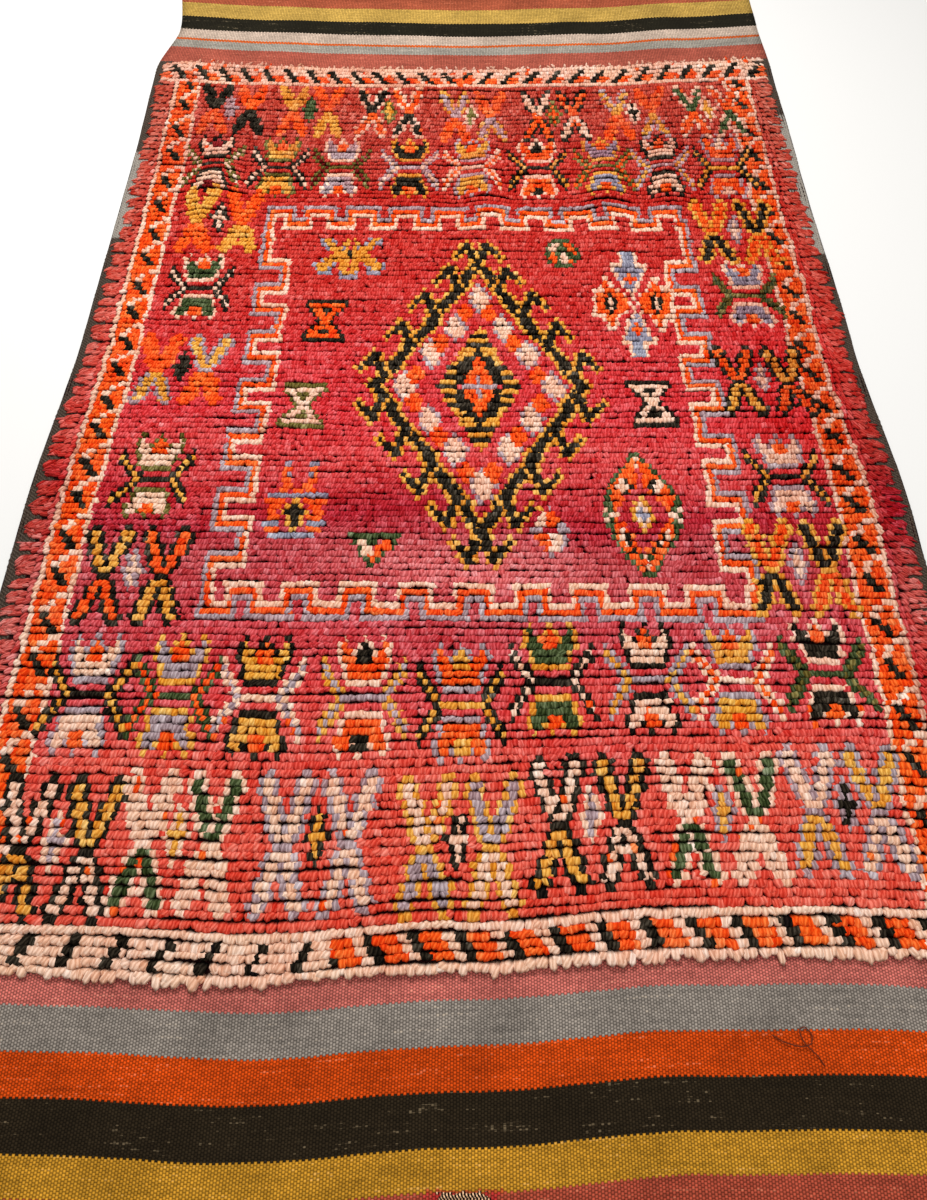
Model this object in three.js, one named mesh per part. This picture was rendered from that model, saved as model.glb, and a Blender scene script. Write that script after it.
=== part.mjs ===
import * as THREE from 'three';

// A hand-knotted berber blanket lying flat on the floor, woven in one piece.
// Millimetres, +Z up, +Y along its length. The origin is under its middle, on the floor.
// From the front hem the weaving runs: striped flat weave, knotted pile, striped flat weave.

// The weave
const GROUND_THICKNESS = 3;
const HEM_THICKNESS = 2.4;
const HEM_DEPTH = 14;
const SELVEDGE_WIDTH = 25;

// The pile, which lies over towards the front
const PILE_HEIGHT = 12;
const PILE_UNEVENNESS = 0.15;
const SLIT_DEPTH = 3.6;
const PILE_FRONT = -1024;
const PILE_FAR = 980;

// The hems, measured along the middle of the blanket
const FRONT_HEM = -1329;
const FAR_HEM = 1296;

// Locks of pile at the rim: their number along each side and across each end, and how they lie
const SIDE_LOCKS = 55;
const SIDE_LOCK_REACH = 19;
const SIDE_LOCK_DROOP = 9;
const END_LOCKS = 46;
const FRONT_LOCK_REACH = 24;
const FAR_LOCK_REACH = 9;
const LOCK_TIP_HEIGHT = 3.4;
const LOCK_ROOT_HEIGHT = 0.8;
const NOTCH_DEPTH = 2;
const LOCK_VARIATION = 0.3;
const RIM_SLOPE = 15;
const RIM_SINK = 1;
const CLEAR_OF_LOCKS = 9;

// How finely the faces are divided
const PILE_COLUMNS = 22;
const WEAVE_COLUMNS = 22;
const UNDERSIDE_COLUMNS = 15;
const WEAVE_STEP = 38;

// The two long edges: how far each lies from the middle line, at places along the length
const SIDE_EDGES = [
  { y: -1340, left: -748, right: 744 },
  { y: -1150, left: -752, right: 750 },
  { y: -1000, left: -764, right: 762 },
  { y: -280, left: -765, right: 763 },
  { y: 120, left: -747, right: 737 },
  { y: 640, left: -746, right: 722 },
  { y: 960, left: -752, right: 715 },
  { y: 1120, left: -721, right: 707 },
  { y: 1350, left: -747, right: 704 },
];

// The wefts bow: how far a weft has slid along the length at each end, at places across the width
const WEFT_BOW = [
  { x: -770, front: -6, far: 33 },
  { x: -500, front: -12, far: 14 },
  { x: -300, front: -19, far: 4 },
  { x: 0, front: 0, far: 0 },
  { x: 300, front: 21, far: 14 },
  { x: 500, front: 24, far: 36 },
  { x: 770, front: 14, far: 58 },
];
const BOW_FADE = 620;

// Where the cloth lifts off the floor: low ripples across it, and humps along it.
// Each has its middle, half its length and width, how far it is turned from the width, and its rise.
const FOLDS = [
  { x: -40, y: 900, halfLength: 600, halfWidth: 66, turn: 1, rise: 5 },
  { x: -60, y: 606, halfLength: 640, halfWidth: 78, turn: 2, rise: 7 },
  { x: 470, y: -48, halfLength: 320, halfWidth: 74, turn: -4, rise: 8 },
  { x: -450, y: -112, halfLength: 330, halfWidth: 72, turn: 4, rise: 7 },
  { x: -455, y: -668, halfLength: 290, halfWidth: 66, turn: 2, rise: 8 },
  { x: 600, y: -655, halfLength: 170, halfWidth: 62, turn: -3, rise: 6 },
  { x: 90, y: -905, halfLength: 420, halfWidth: 80, turn: 3, rise: 4 },
  { x: -550, y: 560, halfLength: 210, halfWidth: 74, turn: 88, rise: 14 },
  { x: 30, y: 570, halfLength: 230, halfWidth: 66, turn: 92, rise: 12 },
  { x: 290, y: 545, halfLength: 240, halfWidth: 66, turn: 87, rise: 13 },
  { x: 425, y: 580, halfLength: 200, halfWidth: 60, turn: 91, rise: 10 },
  { x: -300, y: 1165, halfLength: 330, halfWidth: 70, turn: 3, rise: 3 },
  { x: 380, y: -1205, halfLength: 330, halfWidth: 84, turn: -2, rise: 3 },
];

// A value from a table of places, eased between its rows
function fromTable(rows, at, place, name) {
  const last = rows.length - 1;
  if (place <= rows[0][at]) return rows[0][name];
  if (place >= rows[last][at]) return rows[last][name];
  const next = rows.findIndex((row) => row[at] > place);
  const low = rows[next - 1];
  const high = rows[next];
  const share = (place - low[at]) / (high[at] - low[at]);
  return THREE.MathUtils.lerp(low[name], high[name], share * share * (3 - 2 * share));
}

// A settled scatter from -1 to 1 for two whole numbers
function scatter(row, column) {
  return Math.sin(row * 12.9898 + column * 78.233 + Math.sin(row * 3.17 - column * 5.31) * 9);
}

// A size less up to the given share of itself, by scatter
function uneven(size, share, row, column) {
  return size * (1 - share * (0.5 + 0.5 * scatter(row, column)));
}

// A soft rise from 0 at the ends of -1..1 to 1 in the middle
function bell(t) {
  return Math.abs(t) < 1 ? 0.5 + 0.5 * Math.cos(Math.PI * t) : 0;
}

// How far the cloth is off the floor
function lift(x, y) {
  let height = 0;
  for (const fold of FOLDS) {
    const turn = THREE.MathUtils.degToRad(fold.turn);
    const along = (x - fold.x) * Math.cos(turn) + (y - fold.y) * Math.sin(turn);
    const across = (y - fold.y) * Math.cos(turn) - (x - fold.x) * Math.sin(turn);
    height = Math.max(height, fold.rise * bell(along / fold.halfLength) * bell(across / fold.halfWidth));
  }
  return height;
}

// Where a weft that crosses the middle line at y lies, at x
function weftY(x, y) {
  const front = 1 - THREE.MathUtils.smoothstep(y, PILE_FRONT, PILE_FRONT + BOW_FADE);
  const far = THREE.MathUtils.smoothstep(y, PILE_FAR - BOW_FADE, PILE_FAR);
  const frontBow = fromTable(WEFT_BOW, 'x', x, 'front');
  const farBow = fromTable(WEFT_BOW, 'x', x, 'far');
  return y + front * frontBow + far * farBow;
}

// A point on the cloth: at x, on the weft that crosses the middle at y, and that high above the underside
function onCloth(x, y, height) {
  const placeY = weftY(x, y);
  return [x, placeY, lift(x, placeY) + height];
}

// The two edges of the weft that crosses the middle at y
function edgesAt(y) {
  return [fromTable(SIDE_EDGES, 'y', y, 'left'), fromTable(SIDE_EDGES, 'y', y, 'right')];
}

// A line of flat weave from edge to edge
function weaveLine(y, columns, height) {
  const [left, right] = edgesAt(y);
  const line = [];
  for (let column = 0; column <= columns; column += 1) {
    line.push(onCloth(THREE.MathUtils.lerp(left, right, column / columns), y, height));
  }
  return line;
}

// The height of the pile at a place in it
function pileHeight(row, column, crest) {
  const height = uneven(PILE_HEIGHT, PILE_UNEVENNESS, row, column);
  return GROUND_THICKNESS + height - (crest ? 0 : SLIT_DEPTH);
}

// One side's end of a pile line, from the selvedge inwards: edge, lock tip or notch, and rim
function sideOfPile(edge, inward, y, row, crest) {
  const reach = crest ? uneven(SIDE_LOCK_REACH, LOCK_VARIATION, row, inward) : -NOTCH_DEPTH;
  const tipHeight = GROUND_THICKNESS + (crest ? LOCK_TIP_HEIGHT : LOCK_ROOT_HEIGHT);
  const droop = crest ? SIDE_LOCK_DROOP : 0;
  return [
    onCloth(edge, y, GROUND_THICKNESS),
    onCloth(edge + inward * (SELVEDGE_WIDTH - reach), y - droop, tipHeight),
    onCloth(edge + inward * (SELVEDGE_WIDTH + RIM_SLOPE), y, pileHeight(row, inward, crest) - RIM_SINK),
  ];
}

// A line across the pile: its lumps stand on every other column, by turns
function pileLine(row, y) {
  const crest = row % 2 === 1;
  const [left, right] = edgesAt(y);
  const start = left + SELVEDGE_WIDTH + RIM_SLOPE;
  const end = right - SELVEDGE_WIDTH - RIM_SLOPE;
  const line = sideOfPile(left, 1, y, row, crest);
  const shift = crest ? 0.75 : 0.25;
  for (let column = 0; column < PILE_COLUMNS; column += 1) {
    const x = THREE.MathUtils.lerp(start, end, (column + shift) / PILE_COLUMNS);
    line.push(onCloth(x, y, pileHeight(row, column, crest)));
  }
  return line.concat(sideOfPile(right, -1, y, row, crest).reverse());
}

// The three lines of the pile's ragged end: the bare weave, the lock tips and notches on it, and the rim
function endOfPile(y, outward, reach) {
  const [left, right] = edgesAt(y);
  const weaveAt = y + outward * (reach + CLEAR_OF_LOCKS);
  const weave = [onCloth(left, weaveAt, GROUND_THICKNESS)];
  const tips = [onCloth(left, y, GROUND_THICKNESS)];
  const rim = [onCloth(left, y - outward * RIM_SLOPE, GROUND_THICKNESS)];
  const pitch = (right - left - 2 * SELVEDGE_WIDTH) / END_LOCKS;
  for (let step = 0; step <= 2 * END_LOCKS; step += 1) {
    const isTip = step % 2 === 1;
    const x = left + SELVEDGE_WIDTH + (step * pitch) / 2;
    const out = isTip ? uneven(reach, 2 * LOCK_VARIATION, step, outward) : 0;
    const tipHeight = GROUND_THICKNESS + (isTip ? LOCK_TIP_HEIGHT : LOCK_ROOT_HEIGHT);
    const rimHeight = pileHeight(step, outward, isTip) - RIM_SINK;
    const corner = step === 0 || step === 2 * END_LOCKS;
    if (isTip) weave.push(onCloth(x, weaveAt, GROUND_THICKNESS));
    tips.push(onCloth(x, y + outward * out, tipHeight));
    rim.push(onCloth(x, y - outward * RIM_SLOPE, corner ? tipHeight + LOCK_TIP_HEIGHT : rimHeight));
  }
  weave.push(onCloth(right, weaveAt, GROUND_THICKNESS));
  tips.push(onCloth(right, y, GROUND_THICKNESS));
  rim.push(onCloth(right, y - outward * RIM_SLOPE, GROUND_THICKNESS));
  return [weave, tips, rim];
}

// Evenly spaced places from one y towards another, without the two ends
function between(from, to, step) {
  const count = Math.round(Math.abs(to - from) / step);
  return Array.from({ length: count - 1 }, (_, place) => from + ((to - from) * (place + 1)) / count);
}

// The top of the blanket as lines across it, from the front hem to the far one
function topLines() {
  const clearOfPile = CLEAR_OF_LOCKS + FRONT_LOCK_REACH;
  const frontWeave = between(FRONT_HEM + HEM_DEPTH, PILE_FRONT - clearOfPile, WEAVE_STEP);
  const farWeave = between(PILE_FAR + CLEAR_OF_LOCKS + FAR_LOCK_REACH, FAR_HEM - HEM_DEPTH, WEAVE_STEP);
  const rowPitch = (PILE_FAR - PILE_FRONT - 2 * RIM_SLOPE) / (2 * SIDE_LOCKS);
  const pile = Array.from({ length: 2 * SIDE_LOCKS - 1 }, (_, row) => (
    pileLine(row + 1, PILE_FRONT + RIM_SLOPE + (row + 1) * rowPitch)
  ));
  return [
    weaveLine(FRONT_HEM, WEAVE_COLUMNS, HEM_THICKNESS),
    weaveLine(FRONT_HEM + HEM_DEPTH, WEAVE_COLUMNS, GROUND_THICKNESS),
    ...frontWeave.map((y) => weaveLine(y, WEAVE_COLUMNS, GROUND_THICKNESS)),
    ...endOfPile(PILE_FRONT, -1, FRONT_LOCK_REACH),
    ...pile,
    ...endOfPile(PILE_FAR, 1, FAR_LOCK_REACH).reverse(),
    ...farWeave.map((y) => weaveLine(y, WEAVE_COLUMNS, GROUND_THICKNESS)),
    weaveLine(FAR_HEM - HEM_DEPTH, WEAVE_COLUMNS, GROUND_THICKNESS),
    weaveLine(FAR_HEM, WEAVE_COLUMNS, HEM_THICKNESS),
  ];
}

// The underside, flat on the floor but where the cloth lifts
function undersideLines() {
  const middle = between(FRONT_HEM, FAR_HEM, WEAVE_STEP);
  return [
    weaveLine(FRONT_HEM, WEAVE_COLUMNS, 0),
    ...middle.map((y) => weaveLine(y, UNDERSIDE_COLUMNS, 0)),
    weaveLine(FAR_HEM, WEAVE_COLUMNS, 0),
  ];
}

// Joins two lines of points with triangles, always across the shorter way
function zip(faces, lower, upper, points) {
  const apart = (one, other) => Math.hypot(...points[one].map((value, axis) => value - points[other][axis]));
  let a = 0;
  let b = 0;
  while (a < lower.length - 1 || b < upper.length - 1) {
    const overLower = a < lower.length - 1 ? apart(lower[a + 1], upper[b]) : Infinity;
    const overUpper = b < upper.length - 1 ? apart(lower[a], upper[b + 1]) : Infinity;
    if (overLower <= overUpper) {
      faces.push(lower[a], lower[a + 1], upper[b]);
      a += 1;
    } else {
      faces.push(lower[a], upper[b + 1], upper[b]);
      b += 1;
    }
  }
}

// A closed solid between the top lines and the underside lines
function closedCloth(top, underside) {
  const points = [];
  const numbered = (lines) => lines.map((line) => line.map((point) => points.push(point) - 1));
  const above = numbered(top);
  const below = numbered(underside);
  const faces = [];
  const reversed = [];
  for (let line = 1; line < above.length; line += 1) {
    zip(faces, above[line - 1], above[line], points);
  }
  for (let line = 1; line < below.length; line += 1) {
    zip(reversed, below[line - 1], below[line], points);
  }
  const first = (line) => line[0];
  const last = (line) => line[line.length - 1];
  zip(faces, below[0], above[0], points);
  zip(faces, below.map(last), above.map(last), points);
  zip(reversed, last(below), last(above), points);
  zip(reversed, below.map(first), above.map(first), points);
  for (let corner = 0; corner < reversed.length; corner += 3) {
    faces.push(reversed[corner], reversed[corner + 2], reversed[corner + 1]);
  }
  const geometry = new THREE.BufferGeometry();
  geometry.setAttribute('position', new THREE.Float32BufferAttribute(points.flat(), 3));
  geometry.setIndex(faces);
  geometry.computeVertexNormals();
  return geometry;
}

const wool = new THREE.MeshStandardMaterial({ color: 0xc4453e, roughness: 0.95, metalness: 0 });

const blanket = new THREE.Mesh(closedCloth(topLines(), undersideLines()), wool);
blanket.name = 'blanket';

const part = new THREE.Group();
part.add(blanket);

export default part;
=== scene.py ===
import math

import bmesh
import bpy
import numpy as np
from mathutils import Matrix, Vector


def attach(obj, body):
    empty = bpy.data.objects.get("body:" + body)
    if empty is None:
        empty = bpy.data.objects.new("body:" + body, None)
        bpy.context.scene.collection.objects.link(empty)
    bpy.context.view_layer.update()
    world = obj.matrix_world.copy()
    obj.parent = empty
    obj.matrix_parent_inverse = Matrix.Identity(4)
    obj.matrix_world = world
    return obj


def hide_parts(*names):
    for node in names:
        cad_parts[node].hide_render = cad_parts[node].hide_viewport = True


# A hand-knotted berber blanket, lying flat. Metres, +Z up, +Y along its length.
# Wefts run across, warps along; row 0 of the pile is nearest the front hem.

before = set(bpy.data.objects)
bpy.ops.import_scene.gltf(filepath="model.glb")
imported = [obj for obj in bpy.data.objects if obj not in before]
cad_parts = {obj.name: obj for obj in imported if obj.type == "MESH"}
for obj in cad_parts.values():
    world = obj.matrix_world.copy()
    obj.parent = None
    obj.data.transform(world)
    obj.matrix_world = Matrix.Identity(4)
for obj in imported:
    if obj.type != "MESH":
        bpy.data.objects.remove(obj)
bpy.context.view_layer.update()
dice = np.random.default_rng(12)

# Sizes shared with the solid
GROUND_THICKNESS = 0.003
SELVEDGE_WIDTH = 0.025
PILE_FRONT = -1.024
PILE_FAR = 0.980
FRONT_HEM = -1.329
FAR_HEM = 1.296
BOW_FADE = 0.620

# Knots of the pile, and how much wider its end rows are
KNOTS_ACROSS = 189
ROWS = 164
END_ROWS_WIDER = 0.012

# The flat weave
WARP_PITCH = 0.0039
WEFT_PITCH = 0.0021

# The two long edges, at places along the length
SIDE_EDGES = [
    # y, left, right
    (-1.340, -0.748, 0.744),
    (-1.150, -0.752, 0.750),
    (-1.000, -0.764, 0.762),
    (-0.280, -0.765, 0.763),
    (0.120, -0.747, 0.737),
    (0.640, -0.746, 0.722),
    (0.960, -0.752, 0.715),
    (1.120, -0.721, 0.707),
    (1.350, -0.747, 0.704),
]

# How far a weft has slid along the length at each end, at places across the width
WEFT_BOW = [
    # x, front, far
    (-0.770, -0.006, 0.033),
    (-0.500, -0.012, 0.014),
    (-0.300, -0.019, 0.004),
    (0.000, 0.000, 0.000),
    (0.300, 0.021, 0.014),
    (0.500, 0.024, 0.036),
    (0.770, 0.014, 0.058),
]

# Where the cloth lifts off the floor
FOLDS = [
    # x, y, half length, half width, turn in degrees, rise
    (-0.040, 0.900, 0.600, 0.066, 1, 0.005),
    (-0.060, 0.606, 0.640, 0.078, 2, 0.007),
    (0.470, -0.048, 0.320, 0.074, -4, 0.008),
    (-0.450, -0.112, 0.330, 0.072, 4, 0.007),
    (-0.455, -0.668, 0.290, 0.066, 2, 0.008),
    (0.600, -0.655, 0.170, 0.062, -3, 0.006),
    (0.090, -0.905, 0.420, 0.080, 3, 0.004),
    (-0.550, 0.560, 0.210, 0.074, 88, 0.014),
    (0.030, 0.570, 0.230, 0.066, 92, 0.012),
    (0.290, 0.545, 0.240, 0.066, 87, 0.013),
    (0.425, 0.580, 0.200, 0.060, 91, 0.010),
    (-0.300, 1.165, 0.330, 0.070, 3, 0.003),
    (0.380, -1.205, 0.330, 0.084, -2, 0.003),
]

# Yarn colours, as seen in daylight
YARN = {
    "cream": "e8c2a8",
    "orange": "ec5e1c",
    "charcoal": "2e271e",
    "mustard": "dea142",
    "lilac": "a8989c",
    "green": "4a5534",
    "olive": "6d6130",
    "blue": "8f93a2",
    "maroon": "7d1c1e",
}

# The red of the ground changes with each dye lot, row by row
ABRASH = [
    # y, colour
    (-1.03, "de5f4a"),
    (-0.74, "da5b4d"),
    (-0.64, "d25151"),
    (-0.52, "c64e54"),
    (-0.38, "bc5054"),
    (-0.29, "af2a37"),
    (-0.17, "d14d4c"),
    (-0.04, "d04045"),
    (0.33, "c33c35"),
    (0.56, "be332a"),
    (0.70, "b04035"),
    (0.98, "b74c3b"),
]

# Stripes of the flat weave, from the pile outwards. The first of each is the ground under the pile,
# near-black as painted shade for the pits between the tufts.
FRONT_STRIPES = [
    # ends at, colour
    # under the pile: near-black painted shade
    (-1.018, "240c0c"),
    (-1.060, "b36056"),
    (-1.114, "827970"),
    (-1.167, "b9400c"),
    (-1.227, "261e13"),
    (-1.273, "ad7b23"),
    (-1.400, "9c4431"),
]
FAR_STRIPES = [
    # under the pile: near-black painted shade
    (0.974, "240c0c"),
    (1.049, "9e4f3f"),
    (1.081, "928a7f"),
    (1.090, "c0541c"),
    (1.127, "b39e8d"),
    (1.183, "1f1c13"),
    (1.243, "b08d44"),
    (1.400, "9b4d34"),
]


def linear(code):
    """A colour written as six hexadecimal digits, as the renderer's linear values."""
    parts = [int(code[i:i + 2], 16) / 255 for i in (0, 2, 4)]
    return [p / 12.92 if p <= 0.04045 else ((p + 0.055) / 1.055) ** 2.4 for p in parts]


def ease(t):
    t = np.clip(t, 0.0, 1.0)
    return t * t * (3 - 2 * t)


def from_table(rows, column, place):
    """A column of a table at places of its first column, eased between its rows."""
    at = np.array([row[0] for row in rows])
    values = np.array([row[column] for row in rows])
    place = np.clip(np.asarray(place, float), at[0], at[-1])
    low = np.clip(np.searchsorted(at, place, side="right") - 1, 0, len(at) - 2)
    share = ease((place - at[low]) / (at[low + 1] - at[low]))
    return values[low] + (values[low + 1] - values[low]) * share


def bell(t):
    return np.where(np.abs(t) < 1, 0.5 + 0.5 * np.cos(np.pi * np.clip(t, -1, 1)), 0.0)


def lift(x, y):
    """How far the cloth is off the floor."""
    height = np.zeros(np.broadcast(x, y).shape)
    for fold_x, fold_y, half_length, half_width, degrees, rise in FOLDS:
        cos, sin = math.cos(math.radians(degrees)), math.sin(math.radians(degrees))
        along = (x - fold_x) * cos + (y - fold_y) * sin
        across = (y - fold_y) * cos - (x - fold_x) * sin
        height = np.maximum(height, rise * bell(along / half_length) * bell(across / half_width))
    return height


def bow(x, y):
    """How far the weft that crosses the middle line at y has slid, at x."""
    front = 1 - ease((y - PILE_FRONT) / BOW_FADE)
    far = ease((y - PILE_FAR + BOW_FADE) / BOW_FADE)
    return front * from_table(WEFT_BOW, 1, x) + far * from_table(WEFT_BOW, 2, x)


def edges_at(y):
    return from_table(SIDE_EDGES, 1, y), from_table(SIDE_EDGES, 2, y)


def patches(row_cell, column_cell, seed):
    """Smooth scatter from -1 to 1 over the knots, with patches of about that many knots."""
    own = np.random.default_rng(seed)
    coarse = own.uniform(-1, 1, (ROWS // row_cell + 3, KNOTS_ACROSS // column_cell + 3))
    r = np.arange(ROWS)[:, None] / row_cell
    c = np.arange(KNOTS_ACROSS)[None, :] / column_cell
    r0, c0 = r.astype(int), c.astype(int)
    fr, fc = ease(r - r0), ease(c - c0)
    low = coarse[r0, c0] * (1 - fc) + coarse[r0, c0 + 1] * fc
    high = coarse[r0 + 1, c0] * (1 - fc) + coarse[r0 + 1, c0 + 1] * fc
    return low * (1 - fr) + high * fr


def spots(row_cell, column_cell, seed, gain, base):
    """Scatter sharpened into spots from 0 to 1, where the base sets how much they cover."""
    return np.clip(patches(row_cell, column_cell, seed) * gain + base, 0, 1)


# Where each row of knots lies along the middle line: the rows near the ends are a little wider
ROW_SHARE = (np.arange(ROWS) + 1) / ROWS
ROW_Y = PILE_FRONT + (PILE_FAR - PILE_FRONT) * (
    ROW_SHARE + END_ROWS_WIDER * np.sin(2 * np.pi * ROW_SHARE)
)
ROW_PITCH = (PILE_FAR - PILE_FRONT) / ROWS


def band(middle, half):
    """1 at the row of knots that lies at the middle, fading to 0 half a band away on both sides."""
    return bell((ROW_Y[:, None] - middle) / half)


def knot_at(x, y):
    """The row and column of the knot nearest a place on the blanket."""
    middle_y = y - float(bow(x, y))
    left, right = edges_at(middle_y)
    left, right = float(left) + SELVEDGE_WIDTH, float(right) - SELVEDGE_WIDTH
    column = int(round((x - left) / (right - left) * KNOTS_ACROSS - 0.5))
    return int(np.argmin(np.abs(ROW_Y - middle_y))), column


# The chart of the pattern: one yarn for each knot, 0 where the ground's red shows
YARN_NAMES = ["ground", *YARN]
chart = np.zeros((ROWS, KNOTS_ACROSS), int)


def put(row, column, name):
    if 0 <= row < ROWS and 0 <= column < KNOTS_ACROSS and name:
        chart[row, column] = YARN_NAMES.index(name)


def stamp_at(drawing, middle_row, middle_column, yarns):
    """Knots a small charted motif. Each letter of the drawing has its yarn."""
    for up, line in enumerate(reversed(drawing)):
        for over, letter in enumerate(line):
            row = middle_row + up - len(drawing) // 2
            put(row, middle_column + over - len(line) // 2, yarns.get(letter))


def stamp(drawing, x, y, yarns):
    stamp_at(drawing, *knot_at(x, y), yarns)


BEETLE = [
    "....e...e...e....",
    "...ef..eme..fe...",
    "...effemmmeffe...",
    "w..efffmmmfffe..w",
    "iw..efffffffe..wi",
    "wiw.efffffffe.wiw",
    ".wiw.eeeeeee.wiw.",
    "..wiw.......wiw..",
    "...wibbbbbbbiw...",
    "..wiw.......wiw..",
    ".wiw.eeeeeee.wiw.",
    "wiw.efffffffe.wiw",
    "iw..efffffffe..wi",
    "w..efffmmmfffe..w",
    "...effemmmeffe...",
    "....e...e...e....",
]

CROSS = [
    ".oo.....oo.",
    "offo...offo",
    "offo...offo",
    ".offo.offo.",
    ".offo.offo.",
    "..offoffo..",
    "..offoffo..",
    "...offfo...",
    "....ooo....",
    "...pgggp...",
    "..pggpggp..",
    "..pggpggp..",
    ".pggp.pggp.",
    ".pggp.pggp.",
    "pggp...pggp",
    ".pp.....pp.",
]

NARROW_CROSS = [
    "oo.....oo",
    "ffo...off",
    "offo.offo",
    ".ffo.off.",
    ".offoffo.",
    "..offfo..",
    "...fff...",
    "...ggg...",
    "..pgggp..",
    ".pggpggp.",
    ".ggp.pgg.",
    "pggp.pggp",
    "ggp...pgg",
    "pp.....pp",
]

LOZENGE = [
    "..r..",
    ".rhr.",
    ".rhr.",
    "rhhhr",
    ".rhr.",
    ".rhr.",
    "..r..",
]

FLOWER = [
    ".lyyl...yoy...lyyl.",
    ".llyyl.yyoyy.lyyll.",
    "...lyyylyoylyyyl...",
    ".....yyyycyyyy.....",
    "....yyyyycyyyyy....",
    "..lyyyyyyoyyyyyyl..",
    "lyyyyl.yyoyy.lyyyyl",
    "lyyyl..yyoyy..lyyyl",
    ".llll..lyyyl..llll.",
    ".......lllll.......",
]

HOURGLASS = [
    "ddddddddddd",
    "dfffffffffd",
    ".dffdddffd.",
    "..dffdffd..",
    "...dfffd...",
    "...dfffd...",
    "..dffdffd..",
    ".dffdddffd.",
    "dfffffffffd",
    "ddddddddddd",
]

HOOK = [
    ".....m....",
    "....mddm..",
    "...mdddm..",
    "..mddmddm.",
    ".mdm..ddm.",
    "..m...mddm",
    "......mddd",
]

PALE_LOZENGE = [
    "...l...",
    "..ccl..",
    ".lcccl.",
    ".cccccl",
    ".lcccc.",
    "..lccl.",
    "...l...",
]

SMALL_LOZENGE = [
    ".oo.",
    "oooo",
    "oooo",
    ".oo.",
]

STEPPED_DIAMOND = [
    "..........m..........",
    ".........mmm.........",
    "........ddddd........",
    "........mmmmm........",
    ".......ddddddd.......",
    "......mmmmdmmmm......",
    "......mmmdddmmm......",
    ".....mmdddodddmm.....",
    "....mmdddooodddmm....",
    "...ddddddooodddddd...",
    "..mmmdddooooodddmmm..",
    "..dddddoooloooddddd..",
    ".mmmmddoooloooddmmmm.",
    "ddddd.lllllllll.ddddd",
]

QUARTERED = [
    "....l....",
    "...coo...",
    "..ccooo..",
    ".cccooll.",
    "lll...lll",
    ".ooocccl.",
    "..oocccl.",
    "...occl..",
    "....l....",
]

POSY = [
    "..ggggg..",
    ".gccgoog.",
    "gccgggoog",
    "ggogcggog",
    "googccggg",
    ".gogccog.",
    "..ggggg..",
]

KITE = [
    "ggggggggggg",
    ".gccgg.oog.",
    "..gcc.ooog.",
    "..gccoog...",
    "...ggog....",
    "....gg.....",
]

CARTOUCHE = [
    ".......ggg.......",
    "......gocog......",
    ".....goocoog.....",
    "....gooo.ooog....",
    "...goooo.oooog...",
    "..gocdoo.oodcog..",
    ".gocccdo.odcccog.",
    ".goocdo...odcoog.",
    "goooo...m...oooog",
    "ggoo...mcm...oogg",
    "cgo...mcbcm...ogc",
    "gcc...mbbbm...ccg",
    "cgo...mcbcm...ogc",
    "ggoo...mcm...oogg",
    ".goco...m...ocog.",
    ".gocdo.....odcog.",
    "..gocdo...odcog..",
    "...goodo.odoog...",
    "....googcgoog....",
    ".....goocoog.....",
    "......gocog......",
    ".......ggg.......",
]

CANDLE = [
    "........cbbbc........",
    "........cbbbc........",
    "........cbbbc........",
    "......cccbbbccc......",
    "......cbbbbbbbc......",
    ".......cbbobbc.......",
    "...cc..cbooobc..cc...",
    "...coc..cbobc..coc...",
    "..cooc..cbbbc..cooc..",
    "cccoooc..cbc..coooccc",
    "cooodoooc.c.cooodoooc",
    "coodcdooo.c.ooodcdooc",
    "coodcdoooc.cooodcdooc",
    "coodcdooo.c.ooodcdooc",
    "cooodoooc.c.cooodoooc",
    "cccoooc..cbc..coooccc",
    "..cooc..cbbbc..cooc..",
    "...coc..cbobc..coc...",
    "...cc..cbooobc..cc...",
    ".......cbbobbc.......",
    "......cbbbbbbbc......",
    "......cccbbbccc......",
    "........cbbbc........",
    "........cbbbc........",
    "........cbbbc........",
]

DIAMOND = [
    "...ll....ll...",
    "...oo....oo...",
    "...ol....lo...",
    "...oo....oo...",
    "....oo..oo....",
    "...oo.oo.oo...",
    "llllllllllllll",
    "ooooo.mm.ooooo",
    ".ooo.mddm.ooo.",
    ".oo.mddddm.oo.",
    ".ooo.mddm.ooo.",
    "llll.mddm.llll",
    ".ooo..mm..ooo.",
    "..llllllllll..",
]


# Knots from the middle of one cross of a pair to the other's
CROSSES_APART, NARROW_CROSSES_APART = 12, 11


def beetle(x, y, fill, edge, mouth, bar, whisker, dot):
    yarns = {"f": fill, "e": edge, "m": mouth, "b": bar, "w": whisker, "i": dot}
    stamp(BEETLE, x, y, yarns)


def cross_pair(x, y, one, one_edge, other, other_edge, ring, heart, narrow=False):
    """Two crosses side by side, their yarns matched on the diagonals, with a lozenge between."""
    drawing = NARROW_CROSS if narrow else CROSS
    row, column = knot_at(x, y)
    apart = NARROW_CROSSES_APART if narrow else CROSSES_APART
    first = {"f": one, "o": one_edge, "g": other, "p": other_edge}
    second = {"f": other, "o": other_edge, "g": one, "p": one_edge}
    stamp_at(drawing, row, column - apart // 2, first)
    stamp_at(drawing, row, column - apart // 2 + apart, second)
    stamp_at(LOZENGE, row, column, {"r": ring, "h": heart})


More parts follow.
